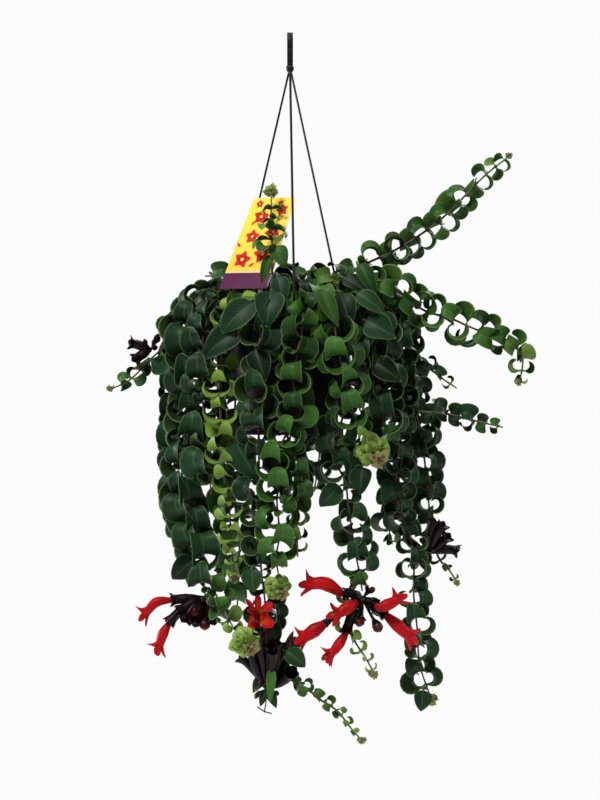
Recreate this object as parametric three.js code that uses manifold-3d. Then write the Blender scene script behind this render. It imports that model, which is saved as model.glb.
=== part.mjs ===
// A lipstick plant with rolled leaves, growing in the hanging pot that it is sold in.
// Millimetres, +Z up. The origin is the seat inside the hook's bend, where the hook bears on what
// holds it up, and the plant's fuller side faces -Y. Every stem is a smooth line through a few
// points. Leaves stand on it in opposite pairs, each pair a quarter turn from the one before, and
// each leaf rolls back towards the stem's root. A leaf that would touch another stem's leaves, the
// pot, the hanger or the label is turned, made smaller, or left out.
import * as THREE from "three";
import { mergeVertices } from "three/addons/utils/BufferGeometryUtils.js";
import Module from "manifold-3d";

// Fit between pieces that touch
const GAP = 0.3;

// Hook and arms of the hanger
const HOOK_WIDTH = 7;
const HOOK_THICK = 2.8;
const HOOK_RADIUS = 8;
const HOOK_LIP = 5;
const BEND_STEPS = 7;
const BOSS_TOP = -36;
const BOSS_BOTTOM = -44;
const BOSS_RADIUS = 4.6;
const BOSS_SIDES = 10;
const ARM_WIDTH = 2.8;
const ARM_THICK = 1.8;
const ARM_ANGLES = [-86, 34, 154];
const CLIP_WIDTH = 7;
const CLIP_THICK = 1.8;
const CLIP_REACH = 6;
const ARM_MARKS = 70;

// Pot, saucer and soil
const RIM_Z = -335;
const RIM_RADIUS = 76;
const RIM_BAND = 10;
const RIM_THICK = 3.2;
const POT_RADIUS = 73.5;
const POT_BASE_RADIUS = 54;
const POT_BASE_Z = -469;
const POT_WALL = 1.8;
const POT_SIDES = 28;
const ROUND_SIDES = 20;
const SAUCER_RADIUS = 61;
const SAUCER_BASE_RADIUS = 57;
const SAUCER_HEIGHT = 12;
const SAUCER_WALL = 1.6;
const STUD_RADIUS = 5;
const STUD_HEAD_RADIUS = 7;
const SOIL_Z = RIM_Z - 10;
const SOIL_CROWN = 3;

// Stems and leaves
const STEM_RADIUS = 1.7;
const STEM_SIDES = 4;
const STEM_STEP = 36;
const MIN_STEP = 2;
const RING_BEFORE = 0.8;
const ROOT_DEPTH = 16;
const ROOT_RISES = [4, 12];
const HOLE_RADIUS = STEM_RADIUS + 0.8;
const BRANCH_BARE = 14;
const MARK_STEP = 4;
const MARKS_TOGETHER = 8;
const SPAN_STEPS = 12;
const LEAF_THICK = 1.3;
const ROOT_OUT = 0.5;
const LEAF_ASPECT = 0.62;
const LEAF_STATIONS = [0.24, 0.5, 0.76];
const YOUNG_STATIONS = [0.3, 0.66];
const SMALL_LEAF = 32;
const LEAF_MARKS = [0.22, 0.36, 0.5, 0.64, 0.78, 0.92];
const LEAF_SIDES = [-1, -0.5, 0, 0.5, 1];
const LEAF_WOBBLE = 0.5;
const LEAF_LIFT = [0.4, 0.3];
const YOUNG_RUN = 60;
const YOUNG_SIZE = 0.3;
const YOUNG_INTERNODE = 0.75;
const ROLL_STEPS = 20;

// Flowers: dark sheaths that spread from a point on a stem, and the red tubes that leave them
const SHEATH_RADIUS = 4.6;
const SHEATH_SIDES = 5;
const SHEATH_BOW = 3;
const SHEATH_HOLLOW = 0.84;
const SHEATH_MARKS = [0.05, 0.2, 0.35, 0.5, 0.62, 0.74, 0.87];
const FLOWER_SIDES = 10;
const MOUTH_CLEFT = 7;
const MOUTH_LOBE = 12.5;
const LOBE_BACK = 2;
const THROAT = 0.86;

// Distances that keep nodes apart
const LEAF_CLEAR = 5.6;
const OWN_CLEAR = 2.6;
const STEM_CLEAR = 5;
const FLOWER_CLEAR = 4.6;
const POT_CLEAR = 1.6;

const MATERIALS = {
  plastic: new THREE.MeshStandardMaterial({ color: 0x17181c, roughness: 0.42 }),
  soil: new THREE.MeshStandardMaterial({ color: 0x241a13, roughness: 0.95 }),
  label: new THREE.MeshStandardMaterial({ color: 0xf2cf3d, roughness: 0.35 }),
  leaf: new THREE.MeshStandardMaterial({ color: 0x1f4f22, roughness: 0.38 }),
  bright: new THREE.MeshStandardMaterial({ color: 0x3a7a24, roughness: 0.38 }),
  lime: new THREE.MeshStandardMaterial({ color: 0x86a83a, roughness: 0.45 }),
  calyx: new THREE.MeshStandardMaterial({ color: 0x24090f, roughness: 0.4 }),
  corolla: new THREE.MeshStandardMaterial({ color: 0xc8131c, roughness: 0.5 }),
};

const wasm = await Module();
wasm.setup();

const group = new THREE.Group();
const vec = (x = 0, y = 0, z = 0) => new THREE.Vector3(x, y, z);
const radians = (degrees) => (degrees * Math.PI) / 180;
const polar = (radius, degrees, z) =>
  vec(radius * Math.cos(radians(degrees)), radius * Math.sin(radians(degrees)), z);

// ---------------------------------------------------------------- solids

const MERGE = 1e-4;

function bareOf(geometry) {
  const bare = geometry.index ? geometry.toNonIndexed() : geometry.clone();
  bare.deleteAttribute("normal");
  bare.deleteAttribute("uv");
  return bare;
}

function solidOf(geometry) {
  const merged = mergeVertices(bareOf(geometry), MERGE);
  const vertProperties = merged.attributes.position.array;
  const triVerts = new Uint32Array(merged.index.array);
  return new wasm.Manifold(new wasm.Mesh({ numProp: 3, vertProperties, triVerts }));
}

const WELD = 0.05;

function addNode(name, solid, material) {
  const mesh = solid.simplify(WELD).getMesh();
  const geometry = new THREE.BufferGeometry();
  geometry.setAttribute("position", new THREE.BufferAttribute(mesh.vertProperties, 3));
  geometry.setIndex(new THREE.BufferAttribute(mesh.triVerts, 1));
  geometry.computeVertexNormals();
  const node = new THREE.Mesh(geometry, material);
  node.name = name;
  group.add(node);
}

function lathe(profile, sides) {
  const points = profile.map(([radius, z]) => new THREE.Vector2(radius, z));
  return solidOf(new THREE.LatheGeometry(points, sides).rotateX(Math.PI / 2));
}

// A closed skin over rings of points. Each ring runs the same way round as seen from its far side.
// The first and last ring each close on a point of their own, or on themselves.
function loft(rings, tip, start) {
  const count = rings[0].length;
  const corners = [...rings.flat(), ...(tip ? [tip] : []), ...(start ? [start] : [])];
  const index = [];
  const first = corners.length - 1;
  for (let j = 0; start && j < count; j++) index.push(j, (j + 1) % count, first);
  for (let j = 1; !start && j < count - 1; j++) index.push(0, j, j + 1);
  for (let i = 0; i < rings.length - 1; i++) {
    for (let j = 0; j < count; j++) {
      const a = i * count + j;
      const b = i * count + ((j + 1) % count);
      index.push(a, b + count, b, a, a + count, b + count);
    }
  }
  const last = (rings.length - 1) * count;
  const end = rings.length * count;
  for (let j = 0; tip && j < count; j++) index.push(last + j, end, last + ((j + 1) % count));
  for (let j = 1; !tip && j < count - 1; j++) index.push(last, last + j + 1, last + j);
  const geometry = new THREE.BufferGeometry();
  const flat = new Float32Array(corners.flatMap((p) => [p.x, p.y, p.z]));
  geometry.setAttribute("position", new THREE.BufferAttribute(flat, 3));
  geometry.setIndex(index);
  return solidOf(geometry);
}

// A ring of points round a centre, in the plane across a direction.
function ringAround(centre, direction, radius, sides, up = vec(0, 0, 1), phase = 0) {
  const side = up.clone().cross(direction);
  if (side.length() < 0.1) side.set(1, 0, 0).cross(direction);
  side.normalize();
  const over = side.clone().cross(direction).normalize();
  return Array.from({ length: sides }, (_, k) => {
    const turn = (2 * Math.PI * (k + phase)) / sides;
    return centre
      .clone()
      .addScaledVector(side, radius * Math.cos(turn))
      .addScaledVector(over, radius * Math.sin(turn));
  });
}

// A flat strap along a path that lies in one plane, with its width across that plane.
function strap(path, across, width, thickness) {
  const rings = path.map((point, i) => {
    const before = path[Math.max(i - 1, 0)];
    const after = path[Math.min(i + 1, path.length - 1)];
    const normal = across.clone().cross(after.clone().sub(before)).normalize();
    return [
      [1, 1],
      [-1, 1],
      [-1, -1],
      [1, -1],
    ].map(([u, v]) =>
      point
        .clone()
        .addScaledVector(across, (u * width) / 2)
        .addScaledVector(normal, (v * thickness) / 2),
    );
  });
  return loft(rings);
}

const union = (solids) => wasm.Manifold.union(solids);

// ---------------------------------------------------------------- what is kept clear

// Each entry holds the points of one placed thing, its bounding ball and how near others may come.
const placed = [];

function place(node, points, clearance, own = 0) {
  const centre = points.reduce((sum, p) => sum.add(p), vec(0, 0, 0)).divideScalar(points.length);
  const radius = Math.max(...points.map((p) => p.distanceTo(centre)));
  placed.push({ node, points, centre, radius, clearance, own });
}

function isClear(node, points) {
  const centre = points.reduce((sum, p) => sum.add(p), vec(0, 0, 0)).divideScalar(points.length);
  const radius = Math.max(...points.map((p) => p.distanceTo(centre)));
  for (const other of placed) {
    const clearance = other.node === node ? other.own : other.clearance;
    if (other.centre.distanceTo(centre) > radius + other.radius + clearance) continue;
    const limit = clearance * clearance;
    for (const p of points) {
      for (const q of other.points) if (p.distanceToSquared(q) < limit) return false;
    }
  }
  return points.every((p) => isOutsidePot(p));
}

const potRadiusAt = (z) =>
  z > RIM_Z - RIM_BAND
    ? RIM_RADIUS
    : POT_BASE_RADIUS +
      ((POT_RADIUS - POT_BASE_RADIUS) * (z - POT_BASE_Z)) / (RIM_Z - POT_BASE_Z);

function isOutsidePot(p) {
  const radius = Math.hypot(p.x, p.y);
  if (p.z > RIM_Z + POT_CLEAR) return true;
  const floor = POT_BASE_Z - SAUCER_WALL - POT_CLEAR - GAP;
  if (p.z < floor) return true;
  const saucerTop = floor + SAUCER_HEIGHT + 2 * POT_CLEAR;
  if (p.z < saucerTop && radius < SAUCER_RADIUS + POT_CLEAR) return false;
  if (radius > potRadiusAt(p.z) + POT_CLEAR) return true;
  return p.z > SOIL_Z + SOIL_CROWN + POT_CLEAR && radius < RIM_RADIUS - RIM_THICK - POT_CLEAR;
}

// ---------------------------------------------------------------- hanger

// The strap rises from the boss, leans back, and bends over the seat to its free end.
function hookPath() {
  const middle = HOOK_RADIUS + HOOK_THICK / 2;
  const bend = Array.from({ length: BEND_STEPS + 1 }, (_, k) => {
    const turn = Math.PI * (1 - k / BEND_STEPS);
    return vec(0, middle * Math.cos(turn), middle * Math.sin(turn) - HOOK_RADIUS);
  });
  return [
    vec(0, 0, BOSS_TOP - 1),
    vec(0, 0, BOSS_TOP + 8),
    vec(0, -middle / 2, BOSS_TOP + 14),
    vec(0, -middle, -2 * HOOK_RADIUS),
    ...bend,
    vec(0, middle, -HOOK_RADIUS - HOOK_LIP),
  ];
}

function makeHanger() {
  const hook = strap(hookPath(), vec(1, 0, 0), HOOK_WIDTH, HOOK_THICK);
  const boss = lathe(
    [
      [0, BOSS_BOTTOM],
      [BOSS_RADIUS - 1.6, BOSS_BOTTOM],
      [BOSS_RADIUS, BOSS_BOTTOM + 3],
      [BOSS_RADIUS, BOSS_TOP - 2],
      [BOSS_RADIUS - 1.2, BOSS_TOP],
      [0, BOSS_TOP],
    ],
    BOSS_SIDES,
  );
  addNode("hanger_hook", union([hook, boss]), MATERIALS.plastic);
  ARM_ANGLES.forEach((angle, k) => {
    const names = ["hanger_arm_front", "hanger_arm_right", "hanger_arm_left"];
    addNode(names[k], armAt(angle, names[k]), MATERIALS.plastic);
  });
}

// One arm: a thin strap from the boss to the rim, with a clip that grips the rim from above.
function armAt(angle, name) {
  const across = polar(1, angle + 90, 0);
  const outer = RIM_RADIUS + GAP + CLIP_THICK / 2;
  const flatInside = (RIM_RADIUS - RIM_THICK) * Math.cos(Math.PI / POT_SIDES);
  const inner = flatInside - GAP - CLIP_THICK / 2;
  const top = RIM_Z + GAP + CLIP_THICK / 2;
  const start = polar(1.6, angle, BOSS_BOTTOM - GAP);
  const foot = polar(outer, angle, top);
  const bar = strap([start, foot], across, ARM_WIDTH, ARM_THICK);
  const clip = strap(
    [
      polar(outer, angle, RIM_Z - RIM_BAND + 1),
      polar(outer, angle, top),
      polar(inner, angle, top),
      polar(inner, angle, RIM_Z - CLIP_REACH),
    ],
    across,
    CLIP_WIDTH,
    CLIP_THICK,
  );
  const marks = Array.from({ length: ARM_MARKS }, (_, k) =>
    start.clone().lerp(foot, k / (ARM_MARKS - 1)),
  );
  place(name, marks, STEM_CLEAR);
  place(name, ringAround(foot, vec(0, 0, 1), CLIP_WIDTH / 2, 6), STEM_CLEAR);
  return union([bar, clip]);
}

// ---------------------------------------------------------------- pot, saucer and soil

function makePot() {
  const floor = POT_BASE_Z + POT_WALL;
  const band = RIM_Z - RIM_BAND;
  const pot = lathe(
    [
      [STUD_RADIUS + GAP, POT_BASE_Z],
      [POT_BASE_RADIUS - 2, POT_BASE_Z],
      [POT_BASE_RADIUS, POT_BASE_Z + 3],
      [POT_RADIUS, band - 2],
      [RIM_RADIUS, band],
      [RIM_RADIUS, RIM_Z],
      [RIM_RADIUS - RIM_THICK, RIM_Z],
      [RIM_RADIUS - RIM_THICK, band + 1],
      [POT_RADIUS - POT_WALL, band - 3],
      [POT_BASE_RADIUS - POT_WALL, floor],
      [STUD_RADIUS + GAP, floor],
      [STUD_RADIUS + GAP, POT_BASE_Z],
    ],
    POT_SIDES,
  );
  addNode("pot", pot, MATERIALS.plastic);
}

// The saucer's stud goes up through the drain hole, and its head keeps the saucer on.
function makeSaucer() {
  const top = POT_BASE_Z - GAP;
  const base = top - SAUCER_WALL;
  const head = POT_BASE_Z + POT_WALL + GAP;
  const saucer = lathe(
    [
      [0, base],
      [SAUCER_BASE_RADIUS, base],
      [SAUCER_RADIUS - 1, base + SAUCER_HEIGHT - 2],
      [SAUCER_RADIUS, base + SAUCER_HEIGHT - 2],
      [SAUCER_RADIUS, base + SAUCER_HEIGHT],
      [SAUCER_RADIUS - 2.5, base + SAUCER_HEIGHT],
      [SAUCER_BASE_RADIUS - 1.6, top],
      [STUD_RADIUS, top],
      [STUD_RADIUS, head],
      [STUD_HEAD_RADIUS, head],
      [STUD_RADIUS - 1, head + 4],
      [0, head + 4],
    ],
    ROUND_SIDES,
  );
  addNode("saucer", saucer, MATERIALS.plastic);
}

function makeSoil(roots) {
  const floor = POT_BASE_Z + POT_WALL + GAP;
  const slope = (POT_RADIUS - POT_BASE_RADIUS) / (RIM_Z - RIM_BAND - POT_BASE_Z);
  const wall = (z) => POT_BASE_RADIUS + slope * (z - POT_BASE_Z) - POT_WALL - 2 * GAP;
  const soil = lathe(
    [
      [0, floor + 6],
      [STUD_HEAD_RADIUS + 1, floor + 6],
      [STUD_HEAD_RADIUS + 1, floor],
      [wall(floor), floor],
      [wall(SOIL_Z - 4), SOIL_Z - 4],
      [wall(SOIL_Z - 4), SOIL_Z],
      [30, SOIL_Z + SOIL_CROWN],
      [0, SOIL_Z + SOIL_CROWN],
    ],
    ROUND_SIDES,
  );
  const holes = roots.map(({ x, y, radius }) => {
    const low = vec(x, y, SOIL_Z - ROOT_DEPTH - GAP);
    const high = vec(x, y, SOIL_Z + SOIL_CROWN + 5);
    const up = vec(0, 0, 1);
    return loft([ringAround(low, up, radius, 5), ringAround(high, up, radius, 5)]);
  });
  addNode("soil", soil.subtract(union(holes)), MATERIALS.soil);
}

// ---------------------------------------------------------------- label

// A stiff tag: a slanted plate on a stick that is pushed into the soil.
const LABEL_LOW_LEFT = vec(-83, -21, -300);
const LABEL_LOW_RIGHT = vec(-26, -55, -300);
const LABEL_TOP_LEFT = vec(-42, 14, -192);
const LABEL_TOP_SHARE = 0.86;
const LABEL_THICK = 0.9;
const LABEL_ROUND = 5;
const LABEL_COLUMNS = 14;
const LABEL_ROWS = 24;
const STICK_WIDTH = 6;
const STICK_ALONG = 54;
const STICK_OVERLAP = 6;
const STICK_ROOT = { x: -31, y: -43, radius: 4.4 };

function makeLabel() {
  const along = LABEL_LOW_RIGHT.clone().sub(LABEL_LOW_LEFT);
  const rise = LABEL_TOP_LEFT.clone().sub(LABEL_LOW_LEFT);
  const x = along.clone().normalize();
  const normal = x.clone().cross(rise).normalize();
  const y = normal.clone().cross(x);
  const width = along.length();
  const lean = rise.dot(x);
  const height = rise.dot(y);
  const shape = new THREE.Shape();
  shape.moveTo(0, 0);
  shape.lineTo(width - LABEL_ROUND, 0);
  shape.lineTo(width, LABEL_ROUND);
  shape.lineTo(lean + width * LABEL_TOP_SHARE, height - LABEL_ROUND);
  shape.lineTo(lean + width * LABEL_TOP_SHARE - LABEL_ROUND, height);
  shape.lineTo(lean + LABEL_ROUND, height);
  shape.lineTo(lean, height - LABEL_ROUND);
  shape.closePath();
  const plate = new THREE.ExtrudeGeometry(shape, { depth: LABEL_THICK, bevelEnabled: false });
  plate.applyMatrix4(new THREE.Matrix4().makeBasis(x, y, normal).setPosition(LABEL_LOW_LEFT));
  const head = LABEL_LOW_LEFT.clone().addScaledVector(x, STICK_ALONG);
  head.addScaledVector(y, STICK_OVERLAP);
  head.addScaledVector(normal, LABEL_THICK / 2);
  const foot = vec(STICK_ROOT.x, STICK_ROOT.y, SOIL_Z - ROOT_DEPTH + 1);
  const middle = vec(STICK_ROOT.x, STICK_ROOT.y, SOIL_Z + 12);
  const stick = strap([head, middle, foot], x, STICK_WIDTH, LABEL_THICK);
  addNode("label", union([solidOf(plate), stick]), MATERIALS.label);
  const points = [];
  for (let i = 0; i <= LABEL_COLUMNS; i++) {
    for (let j = 0; j <= LABEL_ROWS; j++) {
      const rising = j / LABEL_ROWS;
      const reach = width * (1 - (1 - LABEL_TOP_SHARE) * rising);
      const at = LABEL_LOW_LEFT.clone().addScaledVector(y, height * rising);
      points.push(at.addScaledVector(x, (i / LABEL_COLUMNS) * reach + lean * rising));
    }
  }
  place("label", points, STEM_CLEAR);
  place("label", [middle, head, middle.clone().lerp(head, 0.5)], STEM_CLEAR + 3);
}

// ---------------------------------------------------------------- stems

// The same chance every time, from whole numbers that stay small.
function dice(seed) {
  let state = seed;
  return () => {
    state = (state * 9301 + 49297) % 233280;
    return state / 233280;
  };
}

function trace(points) {
  const curve = new THREE.CatmullRomCurve3(points, false, "catmullrom", 0.5);
  const line = curve.getPoints(SPAN_STEPS * (points.length - 1));
  const run = [0];
  for (let i = 1; i < line.length; i++) run.push(run[i - 1] + line[i].distanceTo(line[i - 1]));
  return { line, run, length: run[run.length - 1] };
}

function pointAt({ line, run, length }, distance) {
  const d = Math.min(Math.max(distance, 0), length);
  let i = 1;
  while (i < run.length - 1 && run[i] < d) i++;
  const share = (d - run[i - 1]) / (run[i] - run[i - 1]);
  return line[i - 1].clone().lerp(line[i], share);
}

function directionAt(path, distance) {
  return pointAt(path, distance + 2)
    .sub(pointAt(path, distance - 2))
    .normalize();
}

// A stem's skin has a ring just before each leaf pair, one where it leaves the soil, and more
// along its bare stretches, so that leaves leave its flat sides between rings.
function stemSolid(path, pairs) {
  const marks = [ROOT_DEPTH + ROOT_RISES[0], ...pairs.map((at) => at - RING_BEFORE), path.length];
  const stations = [0];
  for (const distance of marks.sort((a, b) => a - b)) {
    const last = stations[stations.length - 1];
    if (distance - last < MIN_STEP) continue;
    const count = Math.ceil((distance - last) / STEM_STEP);
    for (let i = 1; i <= count; i++) stations.push(last + ((distance - last) * i) / count);
  }
  const rings = stations.map((distance) => {
    const radius = STEM_RADIUS * (1 - 0.4 * (distance / path.length));
    const centre = pointAt(path, distance);
    return ringAround(centre, directionAt(path, distance), radius, STEM_SIDES, path.side, 0.5);
  });
  return loft(rings);
}

// ---------------------------------------------------------------- leaves

const widthShare = (s) => Math.pow(Math.sin(Math.PI * Math.pow(s, 0.85)), 0.65);

// The midline of a rolled leaf in its own plane: how far out from the stem, how far towards the
// stem's tip, and which way it is heading, at even steps from its base to its point.
function rollOf(length, roll, lift) {
  const steps = [{ out: 0, up: 0, heading: lift }];
  for (let k = 1; k <= ROLL_STEPS; k++) {
    const s = (k - 0.5) / ROLL_STEPS;
    const heading = lift - roll * (0.5 * s + 0.5 * s * s);
    const last = steps[k - 1];
    steps.push({
      out: last.out + (length / ROLL_STEPS) * Math.cos(heading),
      up: last.up + (length / ROLL_STEPS) * Math.sin(heading),
      heading: lift - roll * (0.5 * (k / ROLL_STEPS) + 0.5 * (k / ROLL_STEPS) ** 2),
    });
  }
  return steps;
}

function rollAt(steps, s) {
  const place = s * ROLL_STEPS;
  const k = Math.min(Math.floor(place), ROLL_STEPS - 1);
  const share = place - k;
  const mix = (key) => steps[k][key] * (1 - share) + steps[k + 1][key] * share;
  return { out: mix("out"), up: mix("up"), heading: mix("heading") };
}

function leafAt(base, out, up, length, aspect, roll, lift) {
  const across = up.clone().cross(out).normalize();
  const steps = rollOf(length, roll, lift);
  const half = (length * aspect) / 2;
  const at = (s) => {
    const r = rollAt(steps, s);
    const centre = base.clone().addScaledVector(out, r.out).addScaledVector(up, r.up);
    const inward = out
      .clone()
      .multiplyScalar(Math.sin(r.heading))
      .addScaledVector(up, -Math.cos(r.heading));
    return { centre, inward, half: half * widthShare(s) };
  };
  return { at, across, root: base.clone().addScaledVector(out, ROOT_OUT) };
}

function leafSolid(leaf, stations) {
  const rings = stations.map((s) => {
    const { centre, inward, half } = leaf.at(s);
    return [
      centre.clone().addScaledVector(leaf.across, -half),
      centre.clone().addScaledVector(leaf.across, half),
      centre.clone().addScaledVector(inward, LEAF_THICK),
    ];
  });
  return loft(rings, leaf.at(1).centre, leaf.root);
}

function leafPoints(leaf) {
  const points = [];
  for (const s of LEAF_MARKS) {
    const { centre, half } = leaf.at(s);
    for (const side of LEAF_SIDES) {
      points.push(centre.clone().addScaledVector(leaf.across, side * half));
    }
  }
  return points;
}

// Ways to fit a leaf in: its size against the full one, and how far it turns round the stem.
const TRIES = [
  [1, 0],
  [1, 0.4],
  [1, -0.4],
  [0.82, 0],
  [0.82, 0.5],
  [0.82, -0.5],
  [0.62, 0],
  [0.62, 0.7],
  [0.62, -0.7],
];

// Walks up a stem and returns the leaves that fit.
function leavesOf(stem, path, chance) {
  const leaves = [];
  const pairs = [];
  let distance = stem.bare;
  for (let pair = 0; distance < path.length - 2; pair++) {
    const young = Math.min(1, (path.length - distance) / YOUNG_RUN);
    const up = directionAt(path, distance);
    const over = path.side.clone().addScaledVector(up, -path.side.dot(up)).normalize();
    const face = up.clone().cross(over);
    const base = pointAt(path, distance);
    const size = stem.leaf * (YOUNG_SIZE + (1 - YOUNG_SIZE) * young);
    for (const half of [0, 1]) {
      const wobble = (chance() - 0.5) * LEAF_WOBBLE;
      const grown = size * (0.88 + 0.24 * chance());
      const roll = stem.roll * (0.9 + 0.2 * chance()) * (0.72 + 0.28 * young);
      const lift = LEAF_LIFT[0] + LEAF_LIFT[1] * chance();
      for (const [share, turn] of TRIES) {
        const angle = (pair * Math.PI) / 2 + half * Math.PI + wobble + turn;
        const out = face
          .clone()
          .multiplyScalar(Math.cos(angle))
          .addScaledVector(over, Math.sin(angle));
        const leaf = leafAt(base, out, up, grown * share, stem.aspect, roll, lift);
        const points = leafPoints(leaf);
        if (!isClear(stem.name, points)) continue;
        place(stem.name, points, LEAF_CLEAR, OWN_CLEAR);
        leaves.push({ leaf, young });
        if (pairs[pairs.length - 1] !== distance) pairs.push(distance);
        break;
      }
    }
    distance += stem.internode * (YOUNG_INTERNODE + (1 - YOUNG_INTERNODE) * young);
  }
  return { leaves, pairs };
}

// ---------------------------------------------------------------- flowers

// How far along and how wide: an open sheath, a closed bud, and a red tube up to its mouth.
const OPEN_SHEATH = [
  [0, 0.3],
  [0.3, 0.3],
  [0.52, 0.92],
  [1, 1],
];
const CLOSED_BUD = [
  [0, 0.25],
  [0.45, 0.3],
  [0.66, 0.95],
  [0.88, 0.85],
];
const TUBE = [
  [0, 2.4],
  [0.42, 3.6],
  [0.82, 5.8],
];

// Each cluster is where its sheaths meet, and the end of each. Its tubes each follow a few points.
const CLUSTERS = [
  {
    name: "left",
    hub: [-99, -38, -661],
    sheaths: [
      { end: [-138, -40, -664] },
      { end: [-141, -44, -690] },
      { end: [-122, -52, -686], radius: 6.4 },
      { end: [-110, -44, -692], radius: 6.4 },
      { end: [-100, -54, -697], radius: 6.6, bud: true },
      { end: [-90, -46, -688], radius: 6.2 },
      { end: [-129, -32, -679], radius: 6.2 },
      { end: [-104, -26, -684], radius: 6 },
    ],
    tubes: [
      {
        path: [
          [-138.7, -40, -664],
          [-157, -40, -667],
          [-170, -40, -682],
        ],
      },
      {
        path: [
          [-141.4, -44, -690.7],
          [-149, -45, -705],
          [-153, -45, -720],
        ],
      },
    ],
  },
  {
    name: "right",
    hub: [84, -79, -660],
    sheaths: [
      { end: [62, -84, -656] },
      { end: [78, -96, -664] },
      { end: [98, -90, -668] },
      { end: [110, -76, -679] },
      { end: [42, -82, -689], radius: 3.4 },
      { end: [66, -90, -699] },
      { end: [97, -95, -648], radius: 3.6, bud: true },
      { end: [80.4, -101, -688], radius: 6, bud: true },
      { end: [103.4, -96, -695.6], radius: 6.3, bud: true },
      { end: [80, -60, -686] },
      { end: [102, -56, -674] },
    ],
    tubes: [
      {
        path: [
          [61.2, -84, -655.6],
          [40, -88, -643],
          [20, -90, -645],
        ],
      },
      {
        path: [
          [77.4, -96.6, -664.4],
          [66, -103, -671],
          [54, -108, -679],
        ],
      },
      {
        path: [
          [98.9, -90.7, -668.8],
          [106, -92, -670],
          [117, -91, -666],
          [127, -89, -661],
        ],
      },
      {
        path: [
          [110.7, -76, -679.5],
          [127, -76, -694],
          [141, -74, -708],
        ],
      },
      {
        path: [
          [41.3, -82, -689.5],
          [28, -82, -698],
          [14, -80, -708],
        ],
      },
      {
        path: [
          [65.7, -90.3, -699.8],
          [55, -94, -716],
          [46, -95, -727],
        ],
      },
    ],
  },
  {
    name: "front",
    hub: [-27, -84, -767],
    sheaths: [
      { end: [-40, -88, -722], radius: 5.4 },
      { end: [-58, -88, -729], radius: 5 },
      { end: [1, -94, -746] },
      { end: [8, -60, -712] },
      { end: [-24, -97, -716] },
      { end: [-14, -92, -713] },
      { end: [4, -88, -698], radius: 3.8, bud: true },
      { end: [-27, -99, -694], radius: 4.2, bud: true },
    ],
    tubes: [
      {
        up: [1, 0, 0],
        lobe: 16,
        path: [
          [-40.2, -88, -721.2],
          [-43, -85, -704],
          [-41, -82, -688],
          [-37, -94, -674],
        ],
      },
    ],
  },
  {
    name: "outer_right",
    hub: [161, 2, -611],
    sheaths: [
      { end: [168.5, -12, -573] },
      { end: [180, -14, -577] },
      { end: [185, -8, -591] },
      { end: [197, -2, -608] },
      { end: [159, -18, -624], bud: true, radius: 6.2 },
      { end: [136, -4, -591] },
    ],
    tubes: [],
  },
  {
    name: "outer_left",
    hub: [-163, -13.5, -371],
    sheaths: [
      { end: [-187, -18, -363] },
      { end: [-181, -20, -382] },
    ],
    tubes: [],
  },
];

const widthOf = (profile, share) => {
  const k = Math.max(1, profile.findIndex(([at]) => at >= share));
  const [[from, low], [to, high]] = [profile[k - 1], profile[k]];
  return low + ((high - low) * (share - from)) / (to - from);
};

function sheath(name, hub, { end, radius = SHEATH_RADIUS, bud = false }) {
  const tip = vec(...end);
  const bow = hub.clone().lerp(tip, 0.5).add(vec(0, 0, SHEATH_BOW));
  const curve = new THREE.QuadraticBezierCurve3(hub, bow, tip);
  const profile = bud ? CLOSED_BUD : OPEN_SHEATH;
  const ringAt = (share, width) =>
    ringAround(
      curve.getPoint(share),
      curve.getTangent(share),
      radius * width,
      SHEATH_SIDES,
      vec(0, 1, 0),
    );
  const points = SHEATH_MARKS.flatMap((share) => ringAt(share, widthOf(profile, share)));
  place(name, [...points, tip], FLOWER_CLEAR);
  return loft(
    profile.map(([share, width]) => ringAt(share, width)),
    bud ? tip : curve.getPoint(SHEATH_HOLLOW),
  );
}

// A red tube that widens to five pointed lobes. Its throat is hollow.
function flowerTube(name, { path, up = [0, 1, 0], lobe = MOUTH_LOBE }) {
  const route = trace(path.map((p) => vec(...p)));
  const ringAt = (share, radius) =>
    ringAround(
      pointAt(route, share * route.length),
      directionAt(route, share * route.length),
      radius,
      FLOWER_SIDES,
      vec(...up),
    );
  const forward = directionAt(route, route.length);
  const clefts = ringAt(1, MOUTH_CLEFT);
  const lobes = ringAt(1, lobe);
  const mouth = clefts.map((cleft, k) =>
    k % 2 ? cleft : lobes[k].addScaledVector(forward, -LOBE_BACK),
  );
  const rings = [...TUBE.map(([share, radius]) => ringAt(share, radius)), mouth];
  const between = [0.2, 0.6].flatMap((share) => ringAt(share, widthOf(TUBE, share)));
  place(name, [...rings.flat(), ...between], FLOWER_CLEAR);
  return loft(rings, pointAt(route, route.length * THROAT));
}

function makeFlowers() {
  for (const { name, hub, sheaths, tubes } of CLUSTERS) {
    const node = "sheaths_" + name;
    addNode(node, union(sheaths.map((s) => sheath(node, vec(...hub), s))), MATERIALS.calyx);
    tubes.forEach((tube, k) => {
      const flower = "flower_" + name + "_" + (k + 1);
      addNode(flower, flowerTube(flower, tube), MATERIALS.corolla);
    });
  }
}

// A tight bunch of small pale leaves at the end of a shoot.
const ROSETTES = [
  { name: "rosette_centre", at: [-13, -101, -650], size: 28 },
  { name: "rosette_right", at: [97, -104, -492], size: 38 },
  { name: "rosette_left", at: [-50, -112, -712], size: 34 },
  { name: "rosette_label", at: [-22, -26, -186], size: 16 },
];
const ROSETTE_HOLLOW = 0.52;

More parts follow.
